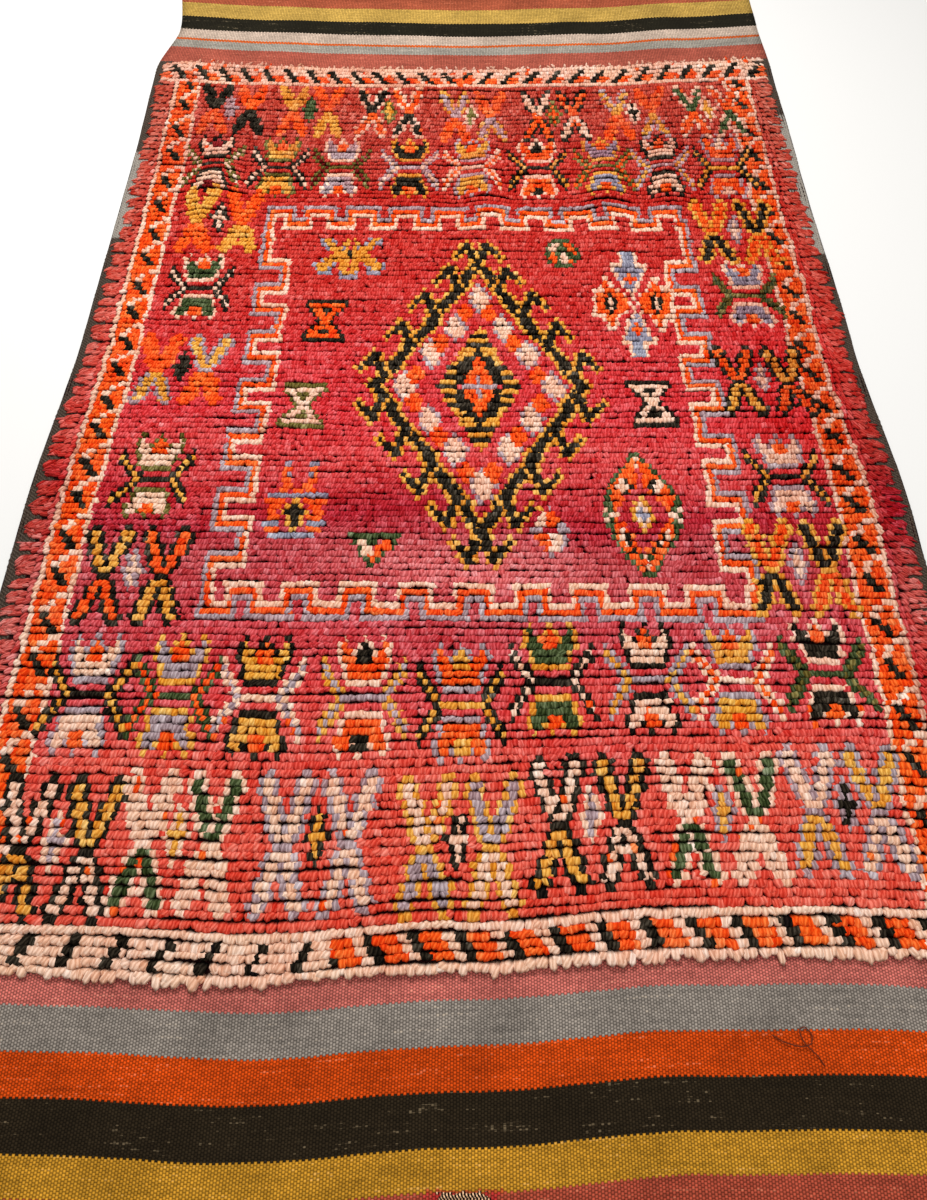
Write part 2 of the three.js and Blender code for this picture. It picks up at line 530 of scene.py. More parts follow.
BEETLES = [
    # x, y, fill, edge, mouth, bar, whisker, dot
    (-0.560, 0.631, "cream", "charcoal", "maroon", "charcoal", "olive", "cream"),
    (-0.415, 0.631, "mustard", "olive", "orange", "charcoal", "charcoal", "cream"),
    (-0.280, 0.628, "lilac", "cream", "orange", "olive", "olive", "maroon"),
    (-0.135, 0.626, "charcoal", "mustard", "orange", "lilac", "lilac", "cream"),
    (0.005, 0.626, "mustard", "lilac", "orange", "cream", "cream", "orange"),
    (0.145, 0.631, "orange", "cream", "charcoal", "charcoal", "charcoal", "mustard"),
    (0.290, 0.635, "blue", "mustard", "orange", "olive", "olive", "orange"),
    (0.415, 0.641, "cream", "charcoal", "orange", "lilac", "lilac", "mustard"),
    (0.550, 0.651, "orange", "lilac", "cream", "mustard", "charcoal", "mustard"),
    (-0.535, 0.261, "green", "cream", "orange", "charcoal", "charcoal", "cream"),
    (-0.550, -0.199, "cream", "olive", "orange", "charcoal", "charcoal", "mustard"),
    (0.550, 0.251, "blue", "cream", "orange", "olive", "olive", "green"),
    (0.550, -0.191, "cream", "lilac", "orange", "charcoal", "charcoal", "mustard"),
    (-0.580, -0.619, "cream", "lilac", "orange", "charcoal", "charcoal", "mustard"),
    (-0.445, -0.619, "lilac", "mustard", "orange", "green", "green", "orange"),
    (-0.310, -0.614, "mustard", "charcoal", "orange", "cream", "cream", "lilac"),
    (-0.158, -0.614, "orange", "cream", "charcoal", "lilac", "mustard", "lilac"),
    (-0.010, -0.619, "orange", "lilac", "mustard", "mustard", "charcoal", "mustard"),
    (0.135, -0.588, "green", "mustard", "orange", "charcoal", "charcoal", "cream"),
    (0.280, -0.582, "cream", "charcoal", "orange", "lilac", "lilac", "mustard"),
    (0.412, -0.577, "mustard", "lilac", "orange", "cream", "cream", "orange"),
    (0.555, -0.574, "charcoal", "cream", "orange", "green", "green", "olive"),
]

CROSS_PAIRS = [
    # x, y, one, its edge, other, its edge, ring, heart, narrow
    (-0.548, 0.841, "charcoal", "charcoal", "orange", "orange", "lilac", "lilac", True),
    (-0.370, 0.831, "mustard", "mustard", "orange", "orange", "green", "green", True),
    (-0.187, 0.821, "charcoal", "cream", "orange", "cream", "olive", "mustard", True),
    (0.000, 0.816, "lilac", "mustard", "orange", "orange", "cream", "olive", True),
    (0.185, 0.816, "cream", "charcoal", "orange", "charcoal", "olive", "orange", True),
    (0.368, 0.826, "mustard", "lilac", "orange", "orange", "cream", "charcoal", True),
    (0.540, 0.836, "green", "cream", "orange", "cream", "cream", "mustard", True),
    (-0.525, 0.451, "mustard", "mustard", "orange", "orange", "charcoal", "cream", False),
    (-0.540, 0.051, "orange", "orange", "mustard", "lilac", "charcoal", "charcoal", False),
    (-0.550, -0.404, "mustard", "charcoal", "orange", "charcoal", "lilac", "cream", False),
    (0.545, 0.431, "orange", "mustard", "charcoal", "mustard", "lilac", "cream", False),
    (0.547, 0.021, "orange", "charcoal", "mustard", "charcoal", "lilac", "cream", False),
    (0.547, -0.381, "orange", "mustard", "charcoal", "mustard", "lilac", "cream", False),
    (-0.580, -0.844, "cream", "charcoal", "mustard", "charcoal", "cream", "lilac", False),
    (-0.405, -0.844, "cream", "cream", "green", "cream", "cream", "mustard", False),
    (-0.210, -0.844, "cream", "lilac", "cream", "lilac", "charcoal", "mustard", False),
    (-0.012, -0.838, "cream", "mustard", "lilac", "mustard", "charcoal", "cream", False),
    (0.182, -0.804, "cream", "charcoal", "mustard", "charcoal", "cream", "lilac", False),
    (0.365, -0.797, "cream", "cream", "green", "cream", "lilac", "mustard", False),
    (0.545, -0.792, "cream", "lilac", "mustard", "lilac", "lilac", "charcoal", False),
]

SMALL_MOTIFS = [
    # drawing, x, y, yarns
    (FLOWER, -0.240, 0.351, {"l": "blue", "y": "mustard", "c": "charcoal"}),
    (HOURGLASS, -0.275, 0.171, {"d": "charcoal", "f": "orange"}),
    (HOURGLASS, -0.300, -0.049, {"d": "olive", "f": "cream"}),
    (HOURGLASS, 0.335, -0.029, {"d": "charcoal", "f": "cream"}),
    (DIAMOND, -0.290, -0.245, {"o": "orange", "l": "blue", "m": "mustard", "d": "charcoal"}),
    (KITE, -0.160, -0.359, {"g": "green", "c": "cream", "o": "orange"}),
    (POSY, 0.185, 0.361, {"g": "green", "c": "cream", "o": "orange"}),
    (CANDLE, 0.320, 0.221, {"b": "blue", "c": "cream", "o": "orange", "d": "charcoal"}),
    (CARTOUCHE, 0.300, -0.269, {
        "g": "green", "c": "cream", "o": "orange", "m": "mustard", "b": "blue", "d": "charcoal"}),
    (QUARTERED, 0.140, -0.315, {"c": "cream", "o": "orange", "l": "lilac"}),
]

# The crenellated frame round the middle field
FRAME_LEFT, FRAME_RIGHT = -0.418, 0.436
FRAME_FRONT, FRAME_FAR = -0.460, 0.476
END_REPEAT_KNOTS, END_TONGUE_KNOTS, END_FIRST_KNOT, END_DEPTH_ROWS = 12, 6, 4, 3
SIDE_REPEAT, SIDE_TONGUE, SIDE_DEPTH_KNOTS = 11, 4, 6
FRONT_CORNER_ROWS, FAR_CORNER_ROWS, SIDE_GAP = 7, 10, 7

# The hooked lozenge in the middle, in knots and rows from its centre
LOZENGE_X, LOZENGE_Y = 0.016, 0.006
LOZENGE_HALF_KNOTS, LOZENGE_HALF_ROWS = 25, 28
LOZENGE_LINE_HALF_KNOTS = 2
LOZENGE_YARNS = {"m": "mustard", "d": "charcoal", "o": "orange", "l": "lilac", "c": "cream"}
HOOK_ROWS = (2, 9, 16, 22, 28)
PALE_RING = ((0, 20), (6, 13), (12, 7), (18, 0))
ORANGE_RING = ((3, 17), (9, 10), (15, 3))

# The borders: repeats in knots along the ends, and in rows up the sides
FRONT_BORDER_ROWS, FAR_BORDER_ROWS = 5, 6
FRONT_REPEAT, FAR_REPEAT = 8, 7
CHARCOAL_TO, FRONT_ORANGE_TO, FAR_ORANGE_TO = 2, 6, 5
FAR_ORANGE_ROWS = 3
BORDER_CHANGE_X = -0.17
LEFT_MARGIN_KNOTS, RIGHT_MARGIN_KNOTS = 5, 6
SIDE_BAND_KNOTS = 8
SIDE_REPEAT_ROWS = 6.5
SIDE_CHARCOAL = {0: (4, 5), 1: (3, 4), 2: (2, 3)}
SIDE_CREAM = {3: (2, 3), 4: (3, 4), 5: (5, 6)}

# Pale knots near the ends that were tied with orange: their share, and how far in they go
STRAY_SHARE = 0.04
STRAY_FRONT_ROWS, STRAY_FAR_ROWS = 30, 25


def spread(mask, knots, rows):
    """A mask grown by that many knots across and rows along."""
    grown = mask.copy()
    for over in range(-knots, knots + 1):
        for up in range(-rows, rows + 1):
            grown |= np.roll(np.roll(mask, over, 1), up, 0)
    return grown


def chart_frame():
    first_row, first = knot_at(FRAME_LEFT, FRAME_FRONT)
    last_row, last = knot_at(FRAME_RIGHT, FRAME_FAR)
    r = np.arange(ROWS)[:, None]
    c = np.arange(KNOTS_ACROSS)[None, :]
    out_tongue = (c - first - END_FIRST_KNOT) % END_REPEAT_KNOTS >= END_TONGUE_KNOTS
    first_tongue = first_row + FRONT_CORNER_ROWS + SIDE_GAP
    side_tongue = (r - first_tongue) % SIDE_REPEAT < SIDE_TONGUE
    side_tongue &= r >= first_tongue
    side_tongue |= (r < first_row + FRONT_CORNER_ROWS) | (r > last_row - FAR_CORNER_ROWS)
    inside = (c >= first) & (c <= last) & (r >= first_row) & (r <= last_row)
    deeper = (r >= first_row + END_DEPTH_ROWS) & (r <= last_row - END_DEPTH_ROWS)
    wider = (c >= first + SIDE_DEPTH_KNOTS) & (c <= last - SIDE_DEPTH_KNOTS)
    inside &= (wider | side_tongue) & (deeper | out_tongue)
    middle = spread(inside, 1, 1)
    outer = spread(middle, 1, 1)
    core = ~spread(~inside, 1, 1)
    chart[outer & ~middle] = YARN_NAMES.index("lilac")
    chart[middle & ~inside] = YARN_NAMES.index("orange")
    chart[inside & ~core] = YARN_NAMES.index("cream")


def chart_outline(middle_row, middle):
    """The lozenge's own line, charcoal between two lines of mustard."""
    for up in range(-LOZENGE_HALF_ROWS, LOZENGE_HALF_ROWS + 1):
        half = int(round(LOZENGE_HALF_KNOTS * (1 - abs(up) / LOZENGE_HALF_ROWS)))
        for side in (-1, 1):
            for over in range(-LOZENGE_LINE_HALF_KNOTS, LOZENGE_LINE_HALF_KNOTS + 1):
                name = "mustard" if abs(over) == LOZENGE_LINE_HALF_KNOTS else "charcoal"
                put(middle_row + up, middle + side * (half + over), name)


def chart_hook(middle_row, middle, base, side, end):
    """One hook on the lozenge's line: a bent arm that leaves it, turns and ends free."""
    half = int(round(LOZENGE_HALF_KNOTS * (1 - base / LOZENGE_HALF_ROWS)))
    for up, line in enumerate(reversed(HOOK)):
        for over, letter in enumerate(reversed(line)):
            name = LOZENGE_YARNS.get(letter)
            put(middle_row + end * (base + up), middle + side * (half + over - 1), name)


def chart_ring(drawing, ring, middle_row, middle):
    """A small motif at each of the ring's places, in all four quarters."""
    for over, up in ring:
        for side in (-1, 1):
            for end in (-1, 1):
                stamp_at(drawing, middle_row + end * up, middle + side * over, LOZENGE_YARNS)


def chart_stepped_diamond(middle_row, middle):
    for up, line in enumerate(reversed(STEPPED_DIAMOND)):
        for end in (-1, 1):
            for over, letter in enumerate(line):
                name = LOZENGE_YARNS.get(letter)
                put(middle_row + end * up, middle + over - len(line) // 2, name)


def chart_hooked_lozenge():
    middle_row, middle = knot_at(LOZENGE_X, LOZENGE_Y)
    chart_outline(middle_row, middle)
    for base in HOOK_ROWS:
        for side in (-1, 1):
            for end in (-1, 1):
                chart_hook(middle_row, middle, base, side, end)
    chart_ring(PALE_LOZENGE, PALE_RING, middle_row, middle)
    chart_ring(SMALL_LOZENGE, ORANGE_RING, middle_row, middle)
    chart_stepped_diamond(middle_row, middle)


def chart_side_borders():
    for row in range(FRONT_BORDER_ROWS, ROWS - FAR_BORDER_ROWS):
        phase = int(row % SIDE_REPEAT_ROWS)
        marks = SIDE_CHARCOAL.get(phase, ())
        pale = SIDE_CREAM.get(phase, ())
        for over in range(SIDE_BAND_KNOTS):
            edge = over in (0, SIDE_BAND_KNOTS - 1)
            name = "cream" if edge or over in pale else "charcoal" if over in marks else "orange"
            put(row, LEFT_MARGIN_KNOTS + over, name)
            put(row, KNOTS_ACROSS - RIGHT_MARGIN_KNOTS - SIDE_BAND_KNOTS + over, name)


def end_border_yarn(row, rows, phase, orange_to):
    if row in (0, rows - 1):
        return "cream"
    return "charcoal" if phase < CHARCOAL_TO else "orange" if phase < orange_to else "cream"


def chart_end_borders():
    """Slanting steps that change their slant once across the blanket, at each end."""
    change = knot_at(BORDER_CHANGE_X, PILE_FRONT)[1]
    for column in range(KNOTS_ACROSS):
        past = column >= change
        for row in range(FRONT_BORDER_ROWS):
            phase = (column + (row if past else -row)) % FRONT_REPEAT
            orange_to = FRONT_ORANGE_TO if past else 0
            put(row, column, end_border_yarn(row, FRONT_BORDER_ROWS, phase, orange_to))
        on_left = column < KNOTS_ACROSS // 2
        for row in range(FAR_BORDER_ROWS):
            phase = (column + (row if on_left else -row)) % FAR_REPEAT
            orange_to = FAR_ORANGE_TO if row < FAR_ORANGE_ROWS else 0
            name = end_border_yarn(row, FAR_BORDER_ROWS, phase, orange_to)
            put(ROWS - FAR_BORDER_ROWS + row, column, name)


def chart_strays():
    """A few knots among the pale ones tied with what was left of the orange."""
    own = np.random.default_rng(17)
    pale = chart == YARN_NAMES.index("cream")
    pale[:FRONT_BORDER_ROWS] = False
    pale[STRAY_FRONT_ROWS:-STRAY_FAR_ROWS] = False
    chart[pale & (own.random(chart.shape) < STRAY_SHARE)] = YARN_NAMES.index("orange")


def chart_pattern():
    chart_frame()
    chart_side_borders()
    chart_end_borders()
    chart_hooked_lozenge()
    for row in BEETLES:
        beetle(*row)
    for row in CROSS_PAIRS:
        cross_pair(*row)
    for drawing, x, y, yarns in SMALL_MOTIFS:
        stamp(drawing, x, y, yarns)
    chart_strays()


# How much of the red, green and blue is taken away where the colour is deeper along the sides
SIDE_DEEPER_GROUND = np.array((0.10, 0.52, 0.54))
SIDE_DEEPER_YARN = np.array((0.22, 0.40, 0.42))

# Where it is deeper: the share of the width where it starts and how fast it grows, then the
# middle and half length of its band of rows
DEEP_RIGHT = (0.80, 0.10, (0.08, 0.80))
DEEP_RIGHT_RIM = (0.955, 0.01, (-0.60, 0.20))
DEEP_LEFT_RIM = (0.045, -0.02, (-0.20, 0.28))

# How far the ends of the ground's dye lots wander along the length
LOT_WANDER = 0.06

# Reds that the dye lots are drawn towards: how strongly, and where. The shaded red along the right
# rim is a painted shadow. Places across are shares of the width or knots from a side, and bands of
# rows are a middle and a half length.
RIM_RED, RIM_STRENGTH, RIM_KNOTS, RIM_FADE_KNOTS = "cd7560", 0.45, 3, 4
CRIMSON, CRIMSON_BAND = "b01c30", (-0.27, 0.16)
# A painted shadow: the ground darkened along the right rim
PAINTED_SHADOW_RED, PAINTED_SHADOW_STRENGTH, PAINTED_SHADOW_FROM, PAINTED_SHADOW_BAND = "8c1418", 0.40, 0.93, (-0.18, 0.32)
PINK, PINK_STRENGTH, PINK_MIDDLE, PINK_HALF, PINK_BAND = "e58a88", 0.62, 0.52, 0.24, (-0.395, 0.085)

# Yarns that have taken on some of the ground's red, most of all towards the far end
DARK_YARNS = ("charcoal", "green", "olive", "maroon")
FADED_FROM_Y, FADED_OVER = 0.42, 0.25
FADED_FAR, FADED_FAR_PATCHES = 0.30, 0.25
FADED_ALL_OVER = 0.08
MOST_FADED = 0.6

# How much each weft's lot, each patch of wear and each knot changes a yarn's depth
LOT_DEPTH, WEAR_DEPTH, KNOT_DEPTH = 0.09, 0.05, 0.14
DARKEST, PALEST = 0.004, 0.95


def deeper_sides(share):
    """Where the yarns along the two sides are deeper in colour than in the middle, 0 to 1."""
    deep = [
        ease((share - start) / growth) * band(*rows)
        for start, growth, rows in (DEEP_RIGHT, DEEP_RIGHT_RIM, DEEP_LEFT_RIM)
    ]
    return np.maximum.reduce(deep)[..., None]


def blend(colours, code, share):
    """Colours drawn towards one colour, by a share for each knot."""
    return colours * (1 - share[..., None]) + np.array(linear(code)) * share[..., None]


def ground_reds(share):
    """The ground's red at every knot: its dye lot, the places that are paler or deeper, and a
    painted shadow along the right rim.
    """
    at = [place for place, _ in ABRASH]
    reds = np.array([linear(code) for _, code in ABRASH])
    y = ROW_Y[:, None] + LOT_WANDER * patches(10, 30, 5)
    ground = np.stack([np.interp(y, at, reds[:, channel]) for channel in range(3)], -1)
    from_side = np.minimum(share, 1 - share) * KNOTS_ACROSS
    rim = ease(1 - (from_side - RIM_KNOTS) / RIM_FADE_KNOTS)[None, :]
    ground = blend(ground, RIM_RED, RIM_STRENGTH * rim)
    patch = np.maximum(spots(5, 26, 8, gain=1.6, base=-0.5), rim * (share > 0.5))
    ground = blend(ground, CRIMSON, patch * band(*CRIMSON_BAND))
    # Painted shadow along the right rim
    painted_shadow = PAINTED_SHADOW_STRENGTH * (share > PAINTED_SHADOW_FROM) * band(*PAINTED_SHADOW_BAND)
    ground = blend(ground, PAINTED_SHADOW_RED, painted_shadow)
    pink = PINK_STRENGTH * bell((share - PINK_MIDDLE) / PINK_HALF) * band(*PINK_BAND)
    return blend(ground, PINK, pink)


def faded(colours, ground):
    """The yarns with some of the ground's red in them, apart from the dark ones."""
    far = ease((ROW_Y - FADED_FROM_Y) / FADED_OVER)[:, None]
    share = far * (FADED_FAR + FADED_FAR_PATCHES * patches(3, 9, 15))
    share = np.maximum(share, FADED_ALL_OVER + FADED_ALL_OVER * patches(4, 9, 16))
    dark = np.isin(chart, [YARN_NAMES.index(name) for name in DARK_YARNS])
    share = np.where(dark, 0, np.clip(share, 0, MOST_FADED))[..., None]
    return colours * (1 - share) + ground * share


def knot_colours():
    """The yarn colour of every knot: the chart's yarns, and the ground's red by dye lot."""
    share = (np.arange(KNOTS_ACROSS) + 0.5) / KNOTS_ACROSS
    sides_deeper = deeper_sides(share)
    ground = ground_reds(share) * (1 - sides_deeper * SIDE_DEEPER_GROUND)
    colours = ground.copy()
    for index, name in enumerate(YARN_NAMES[1:], start=1):
        yarn = np.array(linear(YARN[name])) * (1 - sides_deeper * SIDE_DEEPER_YARN)
        colours[chart == index] = yarn[chart == index]
    colours = faded(colours, ground)
    deeper = LOT_DEPTH * patches(2, 60, 3) + WEAR_DEPTH * patches(6, 10, 9)
    deeper = deeper + dice.normal(0, KNOT_DEPTH, (ROWS, KNOTS_ACROSS))
    colours = np.clip(colours, DARKEST, PALEST) ** (1 - deeper)[..., None]
    return np.clip(colours, DARKEST, PALEST)


# One tuft, as sections from its root to its tip, for a tuft of unit width, length and height
TUFT_SECTIONS = [
    # along, up, width, thickness
    (0.00, 0.14, 0.62, 0.26),
    (0.36, 0.66, 1.00, 0.62),
    (0.82, 0.70, 0.90, 0.52),
]
TUFT_TIP = (1.05, 0.52)
TUFT_SIDES = 5
PLIES = 2.6
STRAND_SHIFT_ACROSS, STRAND_SHIFT_ALONG = 61, 23


def placed(name, mesh, look):
    mesh.materials.append(look)
    piece = bpy.data.objects.new(name, mesh)
    bpy.context.scene.collection.objects.link(piece)
    return piece


def finished(name, bm, look, smooth=True):
    mesh = bpy.data.meshes.new(name)
    bm.to_mesh(mesh)
    bm.free()
    mesh.polygons.foreach_set("use_smooth", np.full(len(mesh.polygons), smooth))
    return placed(name, mesh, look)


def tuft_shape():
    """A closed tuft with a blunt end: (points, faces). X across, Y along its lie, Z up."""
    bm = bmesh.new()
    ring = bmesh.ops.create_circle(bm, segments=TUFT_SIDES, radius=0.5)["verts"]
    bmesh.ops.rotate(bm, verts=ring, cent=(0, 0, 0), matrix=Matrix.Rotation(-math.pi / 2, 3, "X"))
    edges = list(bm.edges)
    sections = [ring]
    for _ in TUFT_SECTIONS[1:]:
        made = bmesh.ops.extrude_edge_only(bm, edges=edges)["geom"]
        edges = [g for g in made if isinstance(g, bmesh.types.BMEdge)]
        sections.append([g for g in made if isinstance(g, bmesh.types.BMVert)])
        edges = [e for e in edges if all(v in sections[-1] for v in e.verts)]
    for verts, (along, up, width, thickness) in zip(sections, TUFT_SECTIONS):
        bmesh.ops.scale(bm, verts=verts, vec=(width, 1, thickness))
        bmesh.ops.translate(bm, verts=verts, vec=(0, along, up))
    bmesh.ops.edgeloop_fill(bm, edges=[
        e for e in bm.edges if e.is_boundary and all(v in sections[0] for v in e.verts)])
    cap = bmesh.ops.edgeloop_fill(bm, edges=[e for e in bm.edges if e.is_boundary])["faces"]
    tip = bmesh.ops.poke(bm, faces=cap)["verts"]
    for v in tip:
        v.co = (0, *TUFT_TIP)
    bmesh.ops.recalc_face_normals(bm, faces=bm.faces)
    points = np.array([v.co for v in bm.verts])
    faces = [[v.index for v in f.verts] for f in bm.faces]
    bm.free()
    return points, faces


def tuft_points(points, places):
    """The points of every tuft, tapered, curled, turned and set on the cloth."""
    over, along, up = points.T
    each = {name: value[:, None] for name, value in places.items() if name != "colour"}
    across = over * each["width"] * (1 - each["taper"] * along) + each["curl"] * along ** 2
    out = along * each["length"]
    sin, cos = np.sin(each["turn"]), np.cos(each["turn"])
    x = each["x"] + across * cos + out * sin
    y = each["y"] + across * sin - out * cos
    z = lift(x, y) + GROUND_THICKNESS + up * each["height"] + each["raise"] * along
    return np.stack([x, y, z], -1)


def strand_places(points, seed):
    """Where each point lies on its own yarn: across, along, and how far from root to tip."""
    over, along, _ = points.T
    return np.stack([
        over * PLIES + seed[:, None] * STRAND_SHIFT_ACROSS,
        along + seed[:, None] * STRAND_SHIFT_ALONG,
        np.broadcast_to(np.clip(along, 0, 1), (len(seed), len(points))),
    ], -1)


def joined_tufts(name, places):
    """One mesh of many tufts. places holds arrays, one value for each tuft."""
    points, faces = TUFT
    count, corners = len(places["x"]), len(points)
    corner_counts = np.tile([len(face) for face in faces], count)
    loops = np.concatenate(faces)[None, :] + np.arange(count)[:, None] * corners
    mesh = bpy.data.meshes.new(name)
    mesh.vertices.add(count * corners)
    mesh.vertices.foreach_set("co", tuft_points(points, places).ravel())
    mesh.loops.add(loops.size)
    mesh.loops.foreach_set("vertex_index", loops.ravel())
    mesh.polygons.add(len(corner_counts))
    mesh.polygons.foreach_set("loop_start", np.cumsum(corner_counts) - corner_counts)
    mesh.update(calc_edges=True)
    mesh.polygons.foreach_set("use_smooth", np.ones(len(corner_counts), bool))
    colour = np.ones((count, corners, 4))
    colour[..., :3] = places["colour"][:, None, :]
    layer = mesh.color_attributes.new("yarn", "FLOAT_COLOR", "POINT")
    layer.data.foreach_set("color", colour.ravel())
    layer = mesh.attributes.new("strand", "FLOAT_VECTOR", "POINT")
    layer.data.foreach_set("vector", strand_places(points, places["seed"]).ravel())
    mesh.validate()
    return placed(name, mesh, PILE)


# A tuft of the pile
PILE_HEIGHT = 0.0125
TUFT_LENGTH = 0.0173
TUFT_FULLNESS = 1.92
TUFT_TAPER = 0.05

# How each tuft differs from the next, as standard deviations: in place, in shares of its size,
# in radians, and in how far its tip curls aside
OFF_COLUMN, OFF_ROW = 0.0006, 0.0004
UNEVEN_LENGTH, UNEVEN_HEIGHT, UNEVEN_WIDTH, UNEVEN_TAPER = 0.08, 0.05, 0.10, 0.10
UNEVEN_TURN, UNEVEN_LIE = 0.15, 0.13
TUFT_CURL = 0.0019

# How neighbours change together: rows that wander, tufts that lean, longer and higher groups
ROW_WANDER, ROW_RIPPLE = 0.0016, 0.0011
FAN_TURN, FAN_AT = 0.26, 0.7
LEAN_TURN = 0.34
LENGTH_RIPPLE, HEIGHT_SWELL = 0.06, 0.10

# Slits between rows: their tufts are shorter, and shorter still on a fold. Two bands of rows part
# most, each given as its middle and half length.
SLIT_SHORTER, SLIT_SHORTER_ON_FOLD, FULL_FOLD = 0.24, 0.18, 0.007
PARTED_FAR, PARTED_MIDDLE = (0.60, 0.26), (-0.03, 0.16)
PARTED_MIDDLE_SHARE, PARTED_SHARE = 0.6, 0.9

# The front row, flattened and ragged
FRONT_LENGTHS = (0.85, 1.35)
FRONT_HEIGHT = 0.85

# Side tufts that lie together in pointed locks over the selvedges. All of them splay in the first
# columns, and ever fewer in the columns that follow.
LOCK_ROWS = (2, 3, 3, 4)
LOCK_REACH, LOCK_REACHES = 0.014, (0.55, 1.20)
LOCK_FIRST_COLUMNS, LOCK_COLUMNS = 2.0, 5
LOCK_GATHER_LEFT, LOCK_GATHER_RIGHT = 0.66, 0.42
LOCK_FORWARD = 0.008
LOCK_LONGEST, LOCK_LENGTHS = 0.026, (0.74, 1.08)

# What splaying takes from a tuft's turn, height and width, and adds to its taper and droop
SPLAY_TURN, SPLAY_HEIGHT, SPLAY_WIDTH = 0.6, 0.45, 0.22
SPLAY_TAPER, SPLAY_DROOP = 0.42, 0.003

# Loose strands at the rims
WISP_TAPER, WISP_CURL = 0.5, 0.003
WISPS_PER_ROW, RIM_WISP_COLUMNS = 2, 3
RIM_WISP_WIDTH, RIM_WISP_TURN = 0.42, 0.16
RIM_WISP_ASIDE, RIM_WISP_DROOP = 0.003, 0.004
RIM_WISP_LENGTHS, RIM_WISP_HEIGHTS = (0.9, 1.25), (0.75, 1.25)
FAR_WISP_SHARE, FAR_WISP_WIDTH, FAR_WISP_TURN = 0.6, 0.5, 0.7
FAR_WISP_LENGTHS, FAR_WISP_HEIGHTS = (0.009, 0.019), (0.5, 0.9)


def locks():
    """Groups of rows whose side tufts lie together in one pointed lock: centre row and reach."""
    own = np.random.default_rng(71)
    centre, reach = np.zeros((2, ROWS)), np.zeros((2, ROWS))
    for side in range(2):
        row = 0
        while row < ROWS:
            size = int(own.choice(LOCK_ROWS))
            centre[side, row:row + size] = row + (size - 1) / 2
            reach[side, row:row + size] = own.uniform(*LOCK_REACHES)
            row += size
    return centre, reach


def side_lie(x, left, right):
    """How the tufts near the sides lie: how much they splay, which way, and how long they are."""
    centre, reach = locks()
    on_left = x < (left + right) / 2
    inward = np.where(on_left, x - left, right - x)
    column = inward / ((right - left) / KNOTS_ACROSS)
    splay = ease(1 - (column - LOCK_FIRST_COLUMNS) / LOCK_COLUMNS)
    rows = np.arange(ROWS)[:, None]
    from_centre = rows - np.where(on_left, centre[0][:, None], centre[1][:, None])
    out = inward + LOCK_REACH * np.where(on_left, reach[0][:, None], reach[1][:, None])
    gather = np.where(on_left, LOCK_GATHER_LEFT, LOCK_GATHER_RIGHT)
    along = from_centre * ROW_PITCH * gather + LOCK_FORWARD
    length = np.minimum(np.hypot(out, along), LOCK_LONGEST)
    length = length * dice.uniform(*LOCK_LENGTHS, x.shape)
    lie = np.arctan2(out, along) + dice.normal(0, UNEVEN_LIE, x.shape)
    return splay, np.where(on_left, -lie, lie), length


def slack():
    """Where the tufts are slack and a slit opens along their row, 0 to 1."""
    parted = band(*PARTED_FAR) + PARTED_MIDDLE_SHARE * band(*PARTED_MIDDLE)
    parted = parted * spots(1, 36, 43, gain=1.4, base=0.4)
    return np.clip(spots(1, 22, 41, gain=1.7, base=-0.2) + PARTED_SHARE * parted, 0, 1)


def pile_places():
    """Where each knot's tuft stands and how it lies."""
    share = (np.arange(KNOTS_ACROSS) + 0.5)[None, :] / KNOTS_ACROSS
    left, right = edges_at(ROW_Y)
    left, right = left[:, None] + SELVEDGE_WIDTH, right[:, None] - SELVEDGE_WIDTH
    x = left + (right - left) * share
    y = ROW_Y[:, None] + bow(x, ROW_Y[:, None]) + ROW_WANDER * patches(3, 14, 21)
    x = x + dice.normal(0, OFF_COLUMN, x.shape)
    y = y + dice.normal(0, OFF_ROW, x.shape) + ROW_RIPPLE * patches(1, 4, 22)
    on_fold = np.clip(lift(x, y) / FULL_FOLD, 0, 1)
    shorter = slack() * (SLIT_SHORTER + SLIT_SHORTER_ON_FOLD * on_fold)
    length = TUFT_LENGTH * (1 + dice.normal(0, UNEVEN_LENGTH, x.shape)) * (1 - shorter)
    length = length * (1 + LENGTH_RIPPLE * patches(1, 2, 23))
    height = PILE_HEIGHT * (1 + dice.normal(0, UNEVEN_HEIGHT, x.shape))
    height = height * (1 + HEIGHT_SWELL * patches(4, 12, 51))
    turn = FAN_TURN * x / FAN_AT + LEAN_TURN * patches(4, 7, 31)
    turn = turn + dice.normal(0, UNEVEN_TURN, x.shape)
    width = TUFT_FULLNESS * (right - left) / KNOTS_ACROSS
    width = width * (1 + dice.normal(0, UNEVEN_WIDTH, x.shape))
    splay, lie, reach = side_lie(x, left, right)
    turn = turn * (1 - SPLAY_TURN * splay) + lie * splay
    length = length * (1 - splay) + reach * splay
    height = height * (1 - SPLAY_HEIGHT * splay)
    width = width * (1 - SPLAY_WIDTH * splay)
    length[0] *= dice.uniform(*FRONT_LENGTHS, x.shape)[0]
    height[0] *= FRONT_HEIGHT
    return {
        "x": x, "y": y, "turn": turn, "length": length, "height": height, "width": width,
        "taper": TUFT_TAPER + SPLAY_TAPER * splay + dice.normal(0, UNEVEN_TAPER, x.shape),
        "raise": -SPLAY_DROOP * splay,
        "curl": dice.normal(0, TUFT_CURL, x.shape),
        "seed": dice.uniform(0, 1, x.shape),
        "colour": knot_colours(),
    }


def picked(places, rows, columns):
    """The places of some tufts, by their rows and columns."""
    rows, columns = (index.ravel() for index in np.broadcast_arrays(rows, columns))
    return {name: value[rows, columns] for name, value in places.items()}


